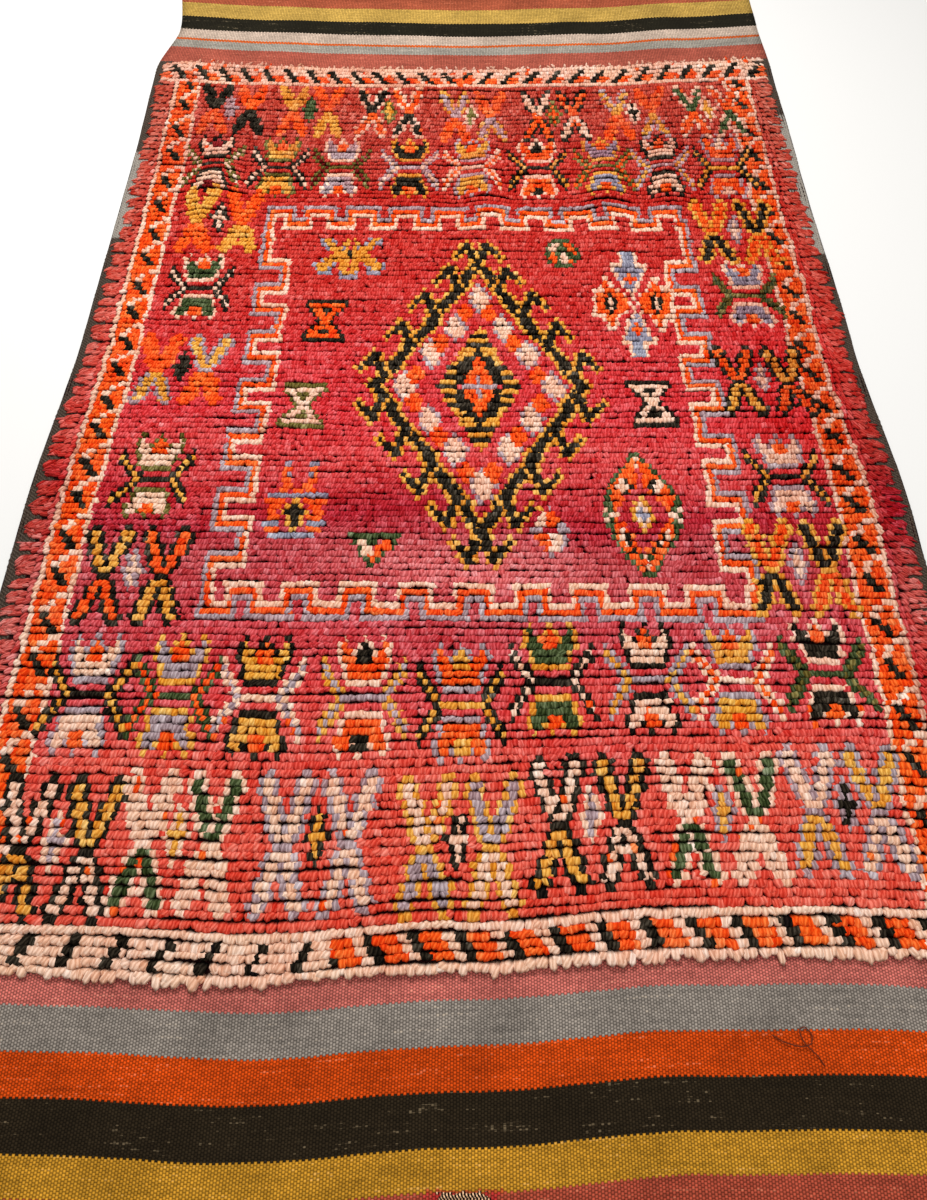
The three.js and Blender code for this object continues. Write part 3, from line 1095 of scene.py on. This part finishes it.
def rim_wisps(side, places):
    """Thin strands that lie out over one selvedge, between and past the rim's own tufts."""
    own = np.random.default_rng(81 + side)
    count = WISPS_PER_ROW * ROWS
    column = own.integers(0, RIM_WISP_COLUMNS, count)
    column = column if side < 0 else KNOTS_ACROSS - 1 - column
    chosen = picked(places, np.tile(np.arange(ROWS), WISPS_PER_ROW), column)
    chosen.update({
        "y": chosen["y"] + own.uniform(-RIM_WISP_ASIDE, RIM_WISP_ASIDE, count),
        "turn": chosen["turn"] + own.normal(0, RIM_WISP_TURN, count),
        "length": chosen["length"] * own.uniform(*RIM_WISP_LENGTHS, count),
        "height": chosen["height"] * own.uniform(*RIM_WISP_HEIGHTS, count),
        "width": chosen["width"] * RIM_WISP_WIDTH,
        "taper": np.full(count, WISP_TAPER),
        "raise": own.uniform(-RIM_WISP_DROOP, 0.0, count),
        "curl": own.normal(0, WISP_CURL, count),
        "seed": own.uniform(0, 1, count),
    })
    return chosen


def far_wisps(columns, places):
    """Loose strands of the last row that stick out over the far flat weave."""
    own = np.random.default_rng(91)
    loose = columns[own.uniform(0, 1, KNOTS_ACROSS)[columns] < FAR_WISP_SHARE]
    chosen = picked(places, ROWS - 1, loose)
    count = len(loose)
    own = np.random.default_rng(92 + int(columns[0]))
    chosen.update({
        "turn": np.pi + own.normal(0, FAR_WISP_TURN, count),
        "length": own.uniform(*FAR_WISP_LENGTHS, count),
        "height": chosen["height"] * own.uniform(*FAR_WISP_HEIGHTS, count),
        "width": chosen["width"] * FAR_WISP_WIDTH,
        "taper": np.full(count, WISP_TAPER),
        "raise": np.zeros(count),
        "curl": own.normal(0, WISP_CURL, count),
    })
    return chosen


def pile_strip(number, columns, places):
    """One strip of the pile along the blanket, as one mesh, with the loose strands at its rims."""
    groups = [picked(places, np.arange(ROWS)[:, None], columns)]
    if columns[0] == 0:
        groups.append(rim_wisps(-1, places))
    if columns[-1] == KNOTS_ACROSS - 1:
        groups.append(rim_wisps(1, places))
    groups.append(far_wisps(columns, places))
    return joined_tufts(f"pile_strip_{number}", {
        name: np.concatenate([group[name] for group in groups]) for name in places})


# Wool and hair barely shine
SHINE, SHEEN_ROUGHNESS = 0.06, 0.5


def material(name, roughness=0.95, sheen=0.0):
    made = bpy.data.materials.new(name)
    made.use_nodes = True
    shader = made.node_tree.nodes["Principled BSDF"]
    shader.inputs["Roughness"].default_value = roughness
    shader.inputs["Specular IOR Level"].default_value = SHINE
    shader.inputs["Sheen Weight"].default_value = sheen
    shader.inputs["Sheen Roughness"].default_value = SHEEN_ROUGHNESS
    return made, made.node_tree, shader


def node(tree, kind, **values):
    made = tree.nodes.new(kind)
    for name, value in values.items():
        setattr(made, name, value)
    return made


def feed(tree, socket, value):
    """Gives a socket its value: another node's output, or plain numbers."""
    if isinstance(value, bpy.types.NodeSocket):
        tree.links.new(value, socket)
    else:
        socket.default_value = value


def maths(tree, operation, *inputs):
    """A Math node's output. Inputs are sockets or numbers."""
    made = node(tree, "ShaderNodeMath", operation=operation)
    for socket, value in zip(made.inputs, inputs):
        feed(tree, socket, value)
    return made.outputs[0]


def product(tree, first, *others):
    for other in others:
        first = maths(tree, "MULTIPLY", first, other)
    return first


def split(tree, place):
    """The outputs X, Y and Z of a place."""
    parts = node(tree, "ShaderNodeSeparateXYZ")
    tree.links.new(place, parts.inputs[0])
    return parts.outputs


def noise(tree, place, scale, detail=2.0, roughness=0.5):
    made = node(tree, "ShaderNodeTexNoise")
    for name, value in (("Scale", scale), ("Detail", detail), ("Roughness", roughness)):
        made.inputs[name].default_value = value
    tree.links.new(place, made.inputs["Vector"])
    return made.outputs


def stretched(tree, place, scale):
    made = node(tree, "ShaderNodeMapping")
    made.inputs["Scale"].default_value = scale
    tree.links.new(place, made.inputs["Vector"])
    return made.outputs["Vector"]


def ramped(tree, value, start, stop, first, last):
    """A value carried over from one range to another."""
    made = node(tree, "ShaderNodeMapRange")
    ends = {"From Min": start, "From Max": stop, "To Min": first, "To Max": last}
    for name, number in ends.items():
        made.inputs[name].default_value = number
    tree.links.new(value, made.inputs["Value"])
    return made.outputs[0]


def mixed(tree, share, first, second):
    """A colour between two others. Each is an output, or six hexadecimal digits."""
    made = node(tree, "ShaderNodeMix", data_type="RGBA")
    tree.links.new(share, made.inputs["Factor"])
    for socket, colour in ((made.inputs[6], first), (made.inputs[7], second)):
        feed(tree, socket, (*linear(colour), 1) if isinstance(colour, str) else colour)
    return made.outputs[2]


def scaled(tree, colour, shade):
    made = node(tree, "ShaderNodeVectorMath", operation="SCALE")
    tree.links.new(colour, made.inputs[0])
    tree.links.new(shade, made.inputs["Scale"])
    return made.outputs["Vector"]


def relief(tree, shader, height, strength, distance):
    """Raises the surface by a height from 0 to 1."""
    bump = node(tree, "ShaderNodeBump")
    bump.inputs["Strength"].default_value = strength
    bump.inputs["Distance"].default_value = distance
    tree.links.new(height, bump.inputs["Height"])
    tree.links.new(bump.outputs["Normal"], shader.inputs["Normal"])


def group(name, inputs, outputs):
    """An empty shader node group with float and vector sockets."""
    tree = bpy.data.node_groups.new(name, "ShaderNodeTree")
    for label, kind in inputs:
        tree.interface.new_socket(name=label, in_out="INPUT", socket_type=kind)
    for label, kind in outputs:
        tree.interface.new_socket(name=label, in_out="OUTPUT", socket_type=kind)
    return tree, tree.nodes.new("NodeGroupInput"), tree.nodes.new("NodeGroupOutput")


# Yarn: how fast its plies waver, how its fibres are drawn out, and how both raise and tint it. The
# tint is the fibres' own streaks, with painted highlight on the ply crests and painted shade in the
# grooves.
PLY_WAVER = 1.6
FIBRE_STRETCH, FIBRE_SCALE, FIBRE_DETAIL, FIBRE_ROUGHNESS = (3.4, 1.1, 1.0), 1.5, 3, 0.65
PLY_HEIGHT, FIBRE_HEIGHT = 0.6, 0.5
# How pale or deep the yarn is by height: painted highlight on crests, painted shade in grooves
STREAKS_AND_PAINTED_LIGHT_BY_HEIGHT = (-0.6, 1.45)


def fibre_group():
    """Twisted plies with fine fibres along them: a height, and how pale or deep the yarn is: fibre
    streaks, with painted highlight on the ply crests and painted shade in the grooves.
    """
    tree, start, end = group(
        "wool_fibre",
        [("Place", "NodeSocketVector"), ("Twist", "NodeSocketFloat")],
        [("Depth", "NodeSocketFloat"), ("Height", "NodeSocketFloat")],
    )
    place = start.outputs["Place"]
    parts = split(tree, place)
    slant = maths(tree, "MULTIPLY", parts["Y"], start.outputs["Twist"])
    across = maths(tree, "ADD", parts["X"], slant)
    across = maths(tree, "ADD", across, noise(tree, place, PLY_WAVER)["Fac"])
    ply = maths(tree, "SINE", maths(tree, "MULTIPLY", across, 2 * math.pi))
    ply = maths(tree, "MULTIPLY_ADD", ply, 0.5, 0.5)
    drawn_out = stretched(tree, place, FIBRE_STRETCH)
    fine = noise(tree, drawn_out, FIBRE_SCALE, FIBRE_DETAIL, FIBRE_ROUGHNESS)["Fac"]
    fine = maths(tree, "MULTIPLY", fine, FIBRE_HEIGHT)
    height = maths(tree, "MULTIPLY_ADD", ply, PLY_HEIGHT, fine)
    tree.links.new(height, end.inputs["Height"])
    tree.links.new(maths(tree, "MULTIPLY_ADD", height, *STREAKS_AND_PAINTED_LIGHT_BY_HEIGHT), end.inputs["Depth"])
    return tree


def hump(tree, steps, power):
    """A rounded rise over each whole step."""
    rise = maths(tree, "SINE", maths(tree, "MULTIPLY", maths(tree, "FRACT", steps), math.pi))
    return maths(tree, "POWER", rise, power)


# How round the weft is over a warp, and a pick next to its neighbours
ROUND_OVER_WARP, ROUND_OVER_PICK = 0.6, 0.7


def grain_group():
    """The rice-like grain of a weft-faced weave, from places along and across it in metres."""
    tree, start, end = group(
        "weft_grain",
        [("Across", "NodeSocketFloat"), ("Along", "NodeSocketFloat")],
        [("Height", "NodeSocketFloat"), ("Step", "NodeSocketFloat"), ("Chance", "NodeSocketFloat")],
    )
    warp = maths(tree, "DIVIDE", start.outputs["Across"], WARP_PITCH)
    warp_number = maths(tree, "FLOOR", warp)
    odd = maths(tree, "MULTIPLY", maths(tree, "MODULO", warp_number, 2.0), 0.5)
    odd = maths(tree, "ABSOLUTE", odd)
    pick = maths(tree, "ADD", maths(tree, "DIVIDE", start.outputs["Along"], WEFT_PITCH * 2), odd)
    pick_number = maths(tree, "FLOOR", pick)
    over_warp, over_pick = hump(tree, warp, ROUND_OVER_WARP), hump(tree, pick, ROUND_OVER_PICK)
    step = maths(tree, "MULTIPLY", maths(tree, "SUBTRACT", pick_number, odd), WEFT_PITCH * 2)
    cell = node(tree, "ShaderNodeCombineXYZ")
    tree.links.new(warp_number, cell.inputs[0])
    tree.links.new(pick_number, cell.inputs[1])
    chance = node(tree, "ShaderNodeTexWhiteNoise", noise_dimensions="2D")
    tree.links.new(cell.outputs[0], chance.inputs["Vector"])
    tree.links.new(maths(tree, "MULTIPLY", over_warp, over_pick), end.inputs["Height"])
    tree.links.new(step, end.inputs["Step"])
    tree.links.new(chance.outputs["Value"], end.inputs["Chance"])
    return tree


def spun(tree, colour, place, twist):
    """A yarn's colour with its plies and fibres in it, their crests painted lighter and their
    grooves painted in shade, and their height.
    """
    fibre = node(tree, "ShaderNodeGroup", node_tree=FIBRE)
    fibre.inputs["Twist"].default_value = twist
    tree.links.new(place, fibre.inputs["Place"])
    tint = node(tree, "ShaderNodeGamma")
    tree.links.new(colour, tint.inputs["Color"])
    tree.links.new(fibre.outputs["Depth"], tint.inputs["Gamma"])
    return tint.outputs["Color"], fibre.outputs["Height"]


def woven(tree, parts):
    """The outputs of the weave's grain at a place."""
    grain = node(tree, "ShaderNodeGroup", node_tree=GRAIN)
    tree.links.new(parts["X"], grain.inputs["Across"])
    tree.links.new(parts["Y"], grain.inputs["Along"])
    return grain.outputs


# The pile's yarn, with painted shade darker at its root, deep among the tufts, and at its very
# tip, over the slit beneath it. Both are places along the tuft, from and to, and the shade at each.
PILE_TWIST = 0.8
ROOT_PAINTED_SHADE = (0.08, 0.36, 0.26, 1.0)
TIP_PAINTED_SHADE = (0.86, 0.98, 1.0, 0.5)
# Ply crests lighter and the grooves between plies darker: painted shade
PLY_PAINTED_SHADE = (0.42, 0.72)
PILE_RELIEF = (0.7, 0.0012)


def pile_material():
    made, tree, shader = material("pile_wool")
    yarn = node(tree, "ShaderNodeAttribute", attribute_name="yarn").outputs["Color"]
    strand = node(tree, "ShaderNodeAttribute", attribute_name="strand").outputs["Vector"]
    yarn, height = spun(tree, yarn, strand, PILE_TWIST)
    along = split(tree, strand)["Z"]
    # Painted shade: darker roots, ply grooves and tips
    shade = product(
        tree,
        ramped(tree, along, *ROOT_PAINTED_SHADE),
        maths(tree, "MULTIPLY_ADD", height, *PLY_PAINTED_SHADE),
        ramped(tree, along, *TIP_PAINTED_SHADE),
    )
    tree.links.new(scaled(tree, yarn, shade), shader.inputs["Base Color"])
    relief(tree, shader, height, *PILE_RELIEF)
    return made


# How far the stripes' ramp runs, from the middle of the blanket outwards
STRIPES_FROM, STRIPES_TO = 0.9, 1.4


def stripe_ramp(tree, outward, stripes):
    """Stripe colours by place outwards from the middle, with hard edges."""
    ramp = node(tree, "ShaderNodeValToRGB")
    ramp.color_ramp.interpolation = "CONSTANT"
    length = STRIPES_TO - STRIPES_FROM
    share = maths(tree, "DIVIDE", maths(tree, "SUBTRACT", outward, STRIPES_FROM), length)
    tree.links.new(share, ramp.inputs["Fac"])
    points = ramp.color_ramp.elements
    starts = [STRIPES_FROM, *[end for end, _ in stripes[:-1]]]
    while len(points) < len(stripes):
        points.new(0.5)
    for point, start, (_, code) in zip(points, starts, stripes):
        point.position = (start - STRIPES_FROM) / length
        point.color = (*linear(code), 1)
    return ramp.outputs["Color"]


def striped(tree, along):
    """The stripes of both ends, by place along the blanket."""
    mirrored = [(-end, code) for end, code in FRONT_STRIPES]
    front = stripe_ramp(tree, maths(tree, "MULTIPLY", along, -1.0), mirrored)
    far = stripe_ramp(tree, along, FAR_STRIPES)
    return mixed(tree, maths(tree, "GREATER_THAN", along, 0.0), front, far)


# Grains of the flat weave worn thin: what the streaks and each grain's chance count for, above
# which sum a grain is worn, and how much of the pale warp shows
THIN_BY_STREAK, THIN_BY_CHANCE, THIN_ABOVE, THIN_SHOWS = 1.5, 0.42, 1.30, 0.14
THIN_WARP = "b09a78"


def thinned(tree, colour, streak, chance):
    worn = maths(tree, "MULTIPLY", chance, THIN_BY_CHANCE)
    worn = maths(tree, "MULTIPLY_ADD", streak, THIN_BY_STREAK, worn)
    worn = maths(tree, "MULTIPLY", maths(tree, "GREATER_THAN", worn, THIN_ABOVE), THIN_SHOWS)
    return mixed(tree, worn, colour, THIN_WARP)


# A short worn place in the front stripes where the wefts are gone and the bare warps show, its rim
# ragged and frayed in red. The slits between the bare warps are near-black painted shade.
BARE_X, BARE_Y = 0.001, -1.2765
BARE_HALF_LENGTH, BARE_HALF_WIDTH = 0.031, 0.0062
BARE_RAGGED, BARE_LEAST = 0.7, 0.6
BARE_LEAN, BARE_WAVER = 0.45, 0.004
BARE_WARP, BARE_SLIT_PAINTED_SHADE, BARE_SLIT_SHARE = "cfa883", "180c09", 0.3
FRAY_RED, FRAY_WIDER, FRAY_STRENGTH = "9c1c22", 0.35, 0.7


def within(tree, parts, chance, wider):
    """1 inside the worn place, its rim broken up grain by grain."""
    ragged = maths(tree, "MULTIPLY_ADD", chance, BARE_RAGGED, BARE_LEAST + wider)
    sides = []
    for label, middle, half in (("X", BARE_X, BARE_HALF_LENGTH), ("Y", BARE_Y, BARE_HALF_WIDTH)):
        away = maths(tree, "ABSOLUTE", maths(tree, "SUBTRACT", parts[label], middle))
        sides.append(maths(tree, "LESS_THAN", away, maths(tree, "MULTIPLY", ragged, half)))
    return maths(tree, "MULTIPLY", *sides)


def worn_bare(tree, colour, parts, streak, chance):
    """The flat weave's colour with the worn place in it."""
    rim = maths(tree, "MULTIPLY", within(tree, parts, chance, FRAY_WIDER), FRAY_STRENGTH)
    frayed = mixed(tree, rim, colour, FRAY_RED)
    lean = maths(tree, "MULTIPLY_ADD", parts["Y"], BARE_LEAN, parts["X"])
    lean = maths(tree, "MULTIPLY_ADD", streak, BARE_WAVER, lean)
    warps = maths(tree, "SINE", maths(tree, "MULTIPLY", lean, 2 * math.pi / WARP_PITCH))
    warps = maths(tree, "GREATER_THAN", warps, BARE_SLIT_SHARE)
    # Painted shade in the slits between bare warps
    bare = mixed(tree, warps, BARE_SLIT_PAINTED_SHADE, BARE_WARP)
    return mixed(tree, within(tree, parts, chance, 0.0), frayed, bare)


# The flat weave: how far its lines waver, its streaks along the wefts and its clouds. Each shade is
# how much its map adds, and the shade where the map is 0.
WAVER_SCALE, WAVER_REACH = 14.0, (0.003, 0.004, 0)
STREAK_STRETCH, STREAK_DETAIL = (9.0, 230.0, 1.0), 4
CLOUD_SCALE, CLOUD_DETAIL = 11.0, 3
STREAK_SHADE, CLOUD_SHADE = (0.9, 0.60), (0.9, 0.60)
# The grain's shade is painted shade, darkening the grooves between grains
GRAIN_PAINTED_SHADE, CHANCE_SHADE = (1.05, 0.28), (0.36, 0.82)
WEAVE_RELIEF = (0.8, 0.0011)


def wavering(tree, place):
    """A place moved a little aside, so that no line of the weave is quite straight."""
    shift = node(tree, "ShaderNodeVectorMath", operation="MULTIPLY_ADD")
    tree.links.new(noise(tree, place, WAVER_SCALE)["Color"], shift.inputs[0])
    shift.inputs[1].default_value = WAVER_REACH
    tree.links.new(place, shift.inputs[2])
    return shift.outputs["Vector"]


def weave_material():
    made, tree, shader = material("flat_weave_wool")
    place = node(tree, "ShaderNodeUVMap", uv_map="weave").outputs[0]
    parts = split(tree, wavering(tree, place))
    grain = woven(tree, parts)
    streak = noise(tree, stretched(tree, place, STREAK_STRETCH), 1.0, STREAK_DETAIL)["Fac"]
    cloud = noise(tree, place, CLOUD_SCALE, CLOUD_DETAIL)["Fac"]
    colour = thinned(tree, striped(tree, grain["Step"]), streak, grain["Chance"])
    colour = worn_bare(tree, colour, parts, streak, grain["Chance"])
    shade = product(
        tree,
        maths(tree, "MULTIPLY_ADD", streak, *STREAK_SHADE),
        maths(tree, "MULTIPLY_ADD", cloud, *CLOUD_SHADE),
        maths(tree, "MULTIPLY_ADD", grain["Height"], *GRAIN_PAINTED_SHADE),
        maths(tree, "MULTIPLY_ADD", grain["Chance"], *CHANCE_SHADE),
    )
    tree.links.new(scaled(tree, colour, shade), shader.inputs["Base Color"])
    relief(tree, shader, grain["Height"], *WEAVE_RELIEF)
    return made


# The selvedge's hair, dark, with paler lengths
HAIR_DARK, HAIR_PALE = "4e4238", "9c948a"
HAIR_ROUGHNESS, HAIR_SHEEN = 0.85, 0.05
HAIR_STRETCH, HAIR_TWIST = (120.0, 300.0, 1.0), 0.5
# Painted shade in the grooves of the selvedge's grain
HAIR_PAINTED_SHADE = (0.6, 0.55)
HAIR_RELIEF = (0.7, 0.001)


def hair_material():
    made, tree, shader = material("selvedge_goat_hair", HAIR_ROUGHNESS, HAIR_SHEEN)
    place = node(tree, "ShaderNodeUVMap", uv_map="weave").outputs[0]
    grain = woven(tree, split(tree, place))
    pale = node(tree, "ShaderNodeAttribute", attribute_name="pale").outputs["Fac"]
    colour = mixed(tree, pale, HAIR_DARK, HAIR_PALE)
    colour, _ = spun(tree, colour, stretched(tree, place, HAIR_STRETCH), HAIR_TWIST)
    shade = maths(tree, "MULTIPLY_ADD", grain["Height"], *HAIR_PAINTED_SHADE)
    tree.links.new(scaled(tree, colour, shade), shader.inputs["Base Color"])
    relief(tree, shader, grain["Height"], *HAIR_RELIEF)
    return made


def thread_material():
    made, tree, shader = material("loose_yarn")
    place = node(tree, "ShaderNodeTexCoord").outputs["Object"]
    speckle = noise(tree, place, THREAD_SPECKLE)["Fac"]
    colour = mixed(tree, speckle, THREAD_DARK, THREAD_LIGHT)
    tree.links.new(colour, shader.inputs["Base Color"])
    return made


def grid(columns, rows):
    """A flat grid with an empty map, and each vertex's share of its width and length."""
    bm = bmesh.new()
    bm.loops.layers.uv.new("weave")
    bmesh.ops.create_grid(bm, x_segments=columns, y_segments=rows, size=0.5)
    share = np.array([v.co[:] for v in bm.verts]) + 0.5
    return bm, share[:, 0], share[:, 1]


def laid(name, bm, x, y, rise, thickness, look):
    """A grid laid over the folds and thickened downwards. Its map is its places before the bow."""
    layer = bm.loops.layers.uv["weave"]
    bowed = y + bow(x, y)
    for v, over, along, place_y, up in zip(bm.verts, x, y, bowed, lift(x, bowed) + rise):
        for loop in v.link_loops:
            loop[layer].uv = (over, along)
        v.co = (over, place_y, up)
    bmesh.ops.recalc_face_normals(bm, faces=bm.faces)
    if sum(f.normal.z for f in bm.faces) < 0:
        bmesh.ops.reverse_faces(bm, faces=bm.faces)
    bmesh.ops.solidify(bm, geom=bm.faces[:], thickness=thickness)
    return finished(name, bm, look)


# The ground weave: how finely it is divided, its faint wrinkle, and the thicker roll of its hems
GROUND_COLUMNS, GROUND_ROWS = 64, 120
GROUND_WALL = GROUND_THICKNESS * 0.85
WRINKLE, WRINKLE_DIP = 0.0009, 0.0002
WRINKLE_ACROSS, WRINKLE_BEND, WRINKLE_BEND_REACH = 23, 9, 2
WRINKLE_ALONG, WRINKLE_SLANT = 41, 6
HEM_RISE, HEM_HALF = 0.0008, 0.006


def ground_weave():
    """The cloth itself: a thin sheet from hem to hem, with its thickness downwards."""
    bm, across, along = grid(GROUND_COLUMNS, GROUND_ROWS)
    y = FRONT_HEM + (FAR_HEM - FRONT_HEM) * along
    left, right = edges_at(y)
    x = left + (right - left) * across
    bent = x * WRINKLE_ACROSS + np.sin(y * WRINKLE_BEND) * WRINKLE_BEND_REACH
    wrinkle = WRINKLE * np.sin(bent) * np.sin(y * WRINKLE_ALONG + x * WRINKLE_SLANT)
    from_hem = np.minimum(y - FRONT_HEM, FAR_HEM - y)
    hem = HEM_RISE * bell((from_hem - HEM_HALF) / HEM_HALF)
    rise = GROUND_THICKNESS + np.maximum(wrinkle, -WRINKLE_DIP) + hem
    return laid("ground_weave", bm, x, y, rise, GROUND_WALL, WEAVE)


# The selvedge: bundled warps wrapped in dark hair, as ridges across its width. It goes in under the
# pile, and its outer edge is scalloped by the wrapping.
SELVEDGE_COLUMNS, SELVEDGE_ROWS = 16, 337
SELVEDGE_FRONT, SELVEDGE_FAR = PILE_FRONT - 0.004, PILE_FAR + 0.008
SELVEDGE_UNDER_PILE = 0.010
SELVEDGE_RIDGES, SELVEDGE_RISE, SELVEDGE_ROUND = 4, 0.0022, 0.6
SELVEDGE_SUNK, SELVEDGE_RIM = 0.0006, 0.003
SELVEDGE_WALL = GROUND_THICKNESS * 0.7
WRAP_PITCH, WRAP_RISE, WRAP_SLANT = 0.0115, 0.0004, 300
SCALLOP, SLOW_SCALLOP, SLOW_SCALLOP_TURNS = 0.0008, 0.0007, 61

# Lengths of the selvedge that are wrapped in paler hair, on each side
PALE_LENGTHS = {-1: (0.401, 0.661), 1: (0.361, 0.781)}


def selvedge(name, side):
    """One dark edge, a ridged strip wrapped round the edge of the ground weave."""
    bm, across, along = grid(SELVEDGE_COLUMNS, SELVEDGE_ROWS)
    y = SELVEDGE_FRONT + (SELVEDGE_FAR - SELVEDGE_FRONT) * along
    inward = (SELVEDGE_WIDTH + SELVEDGE_UNDER_PILE) * (across if side < 0 else 1 - across)
    wraps = y * 2 * np.pi / WRAP_PITCH
    scallop = SCALLOP * np.sin(wraps) + SLOW_SCALLOP * np.sin(y * SLOW_SCALLOP_TURNS)
    edge = edges_at(y)[0 if side < 0 else 1]
    x = edge - side * inward + side * scallop * (1 - inward / SELVEDGE_WIDTH)
    ridge = np.abs(np.sin(np.pi * SELVEDGE_RIDGES * inward / SELVEDGE_WIDTH))
    wrap = WRAP_RISE * np.sin(wraps + inward * WRAP_SLANT)
    ridge = (SELVEDGE_RISE * ridge ** SELVEDGE_ROUND + wrap) * ease(inward / SELVEDGE_RIM)
    pale = bm.verts.layers.float.new("pale")
    first, last = PALE_LENGTHS[side]
    for v, length in zip(bm.verts, y):
        v[pale] = float(first < length < last)
    rise = GROUND_THICKNESS - SELVEDGE_SUNK + ridge
    return laid(name, bm, x, y, rise, SELVEDGE_WALL, HAIR)


# A loose end of dark yarn that has come out of the orange stripe, and its turns
THREAD_RADIUS, THREAD_SIDES, THREAD_RINGS = 0.0008, 6, 46
THREAD_CLEARANCE, THREAD_SMOOTHINGS = 0.0007, 3
THREAD_DARK, THREAD_LIGHT, THREAD_SPECKLE = "3a1710", "7a3a24", 700.0
THREAD_PATH = [
    # x, y, height over the cloth
    (0.398, -1.098, 0.000),
    (0.410, -1.106, 0.003),
    (0.432, -1.112, 0.004),
    (0.446, -1.108, 0.003),
    (0.449, -1.097, 0.002),
    (0.440, -1.087, 0.003),
    (0.431, -1.092, 0.004),
    (0.436, -1.108, 0.006),
    (0.452, -1.122, 0.003),
    (0.459, -1.133, 0.000),
]


def thread_points():
    """Places along the thread's path, smoothed, on the cloth."""
    rows = [(turn, *row) for turn, row in enumerate(THREAD_PATH)]
    steps = np.linspace(0, len(THREAD_PATH) - 1, THREAD_RINGS)
    x, y, over = (from_table(rows, column, steps) for column in (1, 2, 3))
    points = np.stack([x, y, lift(x, y) + GROUND_THICKNESS + THREAD_CLEARANCE + over], -1)
    for _ in range(THREAD_SMOOTHINGS):
        points[1:-1] = (points[:-2] + 2 * points[1:-1] + points[2:]) / 4
    return points


def loose_thread():
    """A thin round yarn with closed ends."""
    points = thread_points()
    bm = bmesh.new()
    rings = []
    for place, ahead in zip(points, np.gradient(points, axis=0)):
        ring = bmesh.ops.create_circle(bm, segments=THREAD_SIDES, radius=THREAD_RADIUS)["verts"]
        turned = Vector(ahead).to_track_quat("Z", "X").to_matrix()
        bmesh.ops.rotate(bm, verts=ring, cent=(0, 0, 0), matrix=turned)
        bmesh.ops.translate(bm, verts=ring, vec=Vector(place))
        rings.append([e for e in bm.edges if all(v in ring for v in e.verts)])
    for first, second in zip(rings, rings[1:]):
        bmesh.ops.bridge_loops(bm, edges=first + second)
    bmesh.ops.holes_fill(bm, edges=bm.edges[:], sides=THREAD_SIDES)
    bmesh.ops.recalc_face_normals(bm, faces=bm.faces)
    return finished("loose_thread", bm, thread_material())


# Camera: at the photo's place over the front end
CAMERA_AT = (0.0, -1.199, 1.329)
CAMERA_BELOW_LEVEL = 60.779
CAMERA_TURN = 0.495
CAMERA_LENS, CAMERA_FILM, CAMERA_SEES = 27.99, 36, 50

# The room
FLOOR_HALF, FLOOR_ROUGHNESS, FLOOR_COLOUR = 30, 0.8, (0.72, 0.71, 0.69, 1)
ROOM_COLOUR, ROOM_STRENGTH = (1.0, 0.985, 0.96, 1), 0.40
LIGHTS = [
    # name, at, aim, size, power
    ("key", (-0.5, 1.3, 2.7), (0.0, 0.4, 0.0), 1.2, 95),
    ("fill", (0.9, -1.7, 2.6), (0.0, -0.4, 0.0), 2.0, 30),
]


def camera():
    data = bpy.data.cameras.new("camera")
    data.lens = CAMERA_LENS
    data.sensor_width = CAMERA_FILM
    data.clip_end = CAMERA_SEES
    made = bpy.data.objects.new("camera", data)
    made.location = CAMERA_AT
    made.rotation_euler = (math.radians(90 - CAMERA_BELOW_LEVEL), 0, math.radians(CAMERA_TURN))
    bpy.context.scene.collection.objects.link(made)
    bpy.context.scene.camera = made


def area_light(name, at, aim, size, power):
    data = bpy.data.lights.new(name, "AREA")
    data.shape = "DISK"
    data.size = size
    data.energy = power
    made = bpy.data.objects.new(name, data)
    made.location = at
    made.rotation_euler = (Vector(aim) - Vector(at)).to_track_quat("-Z", "Y").to_euler()
    bpy.context.scene.collection.objects.link(made)


def stage():
    bm = bmesh.new()
    bmesh.ops.create_grid(bm, x_segments=1, y_segments=1, size=FLOOR_HALF)
    look, _, shader = material("pale_floor", FLOOR_ROUGHNESS)
    shader.inputs["Base Color"].default_value = FLOOR_COLOUR
    floor = finished("floor", bm, look, smooth=False)
    world = bpy.data.worlds.new("studio")
    world.use_nodes = True
    background = world.node_tree.nodes["Background"]
    background.inputs["Color"].default_value = ROOM_COLOUR
    background.inputs["Strength"].default_value = ROOM_STRENGTH
    bpy.context.scene.world = world
    for light in LIGHTS:
        area_light(*light)
    bpy.context.scene.view_settings.view_transform = "Standard"


camera()
stage()
chart_pattern()
FIBRE = fibre_group()
GRAIN = grain_group()
PILE = pile_material()
WEAVE = weave_material()
HAIR = hair_material()
TUFT = tuft_shape()

ground = ground_weave()
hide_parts("blanket")

edges = [selvedge("selvedge_left", -1), selvedge("selvedge_right", 1)]

# The pile goes in strips along the blanket
PILE_STRIPS = 5
places = pile_places()
strips = []
for number, columns in enumerate(np.array_split(np.arange(KNOTS_ACROSS), PILE_STRIPS), start=1):
    piece = pile_strip(number, columns, places)
    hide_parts("blanket")
    strips.append(piece)

thread = loose_thread()

for piece in [ground, *edges, *strips, thread]:
    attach(piece, "root")
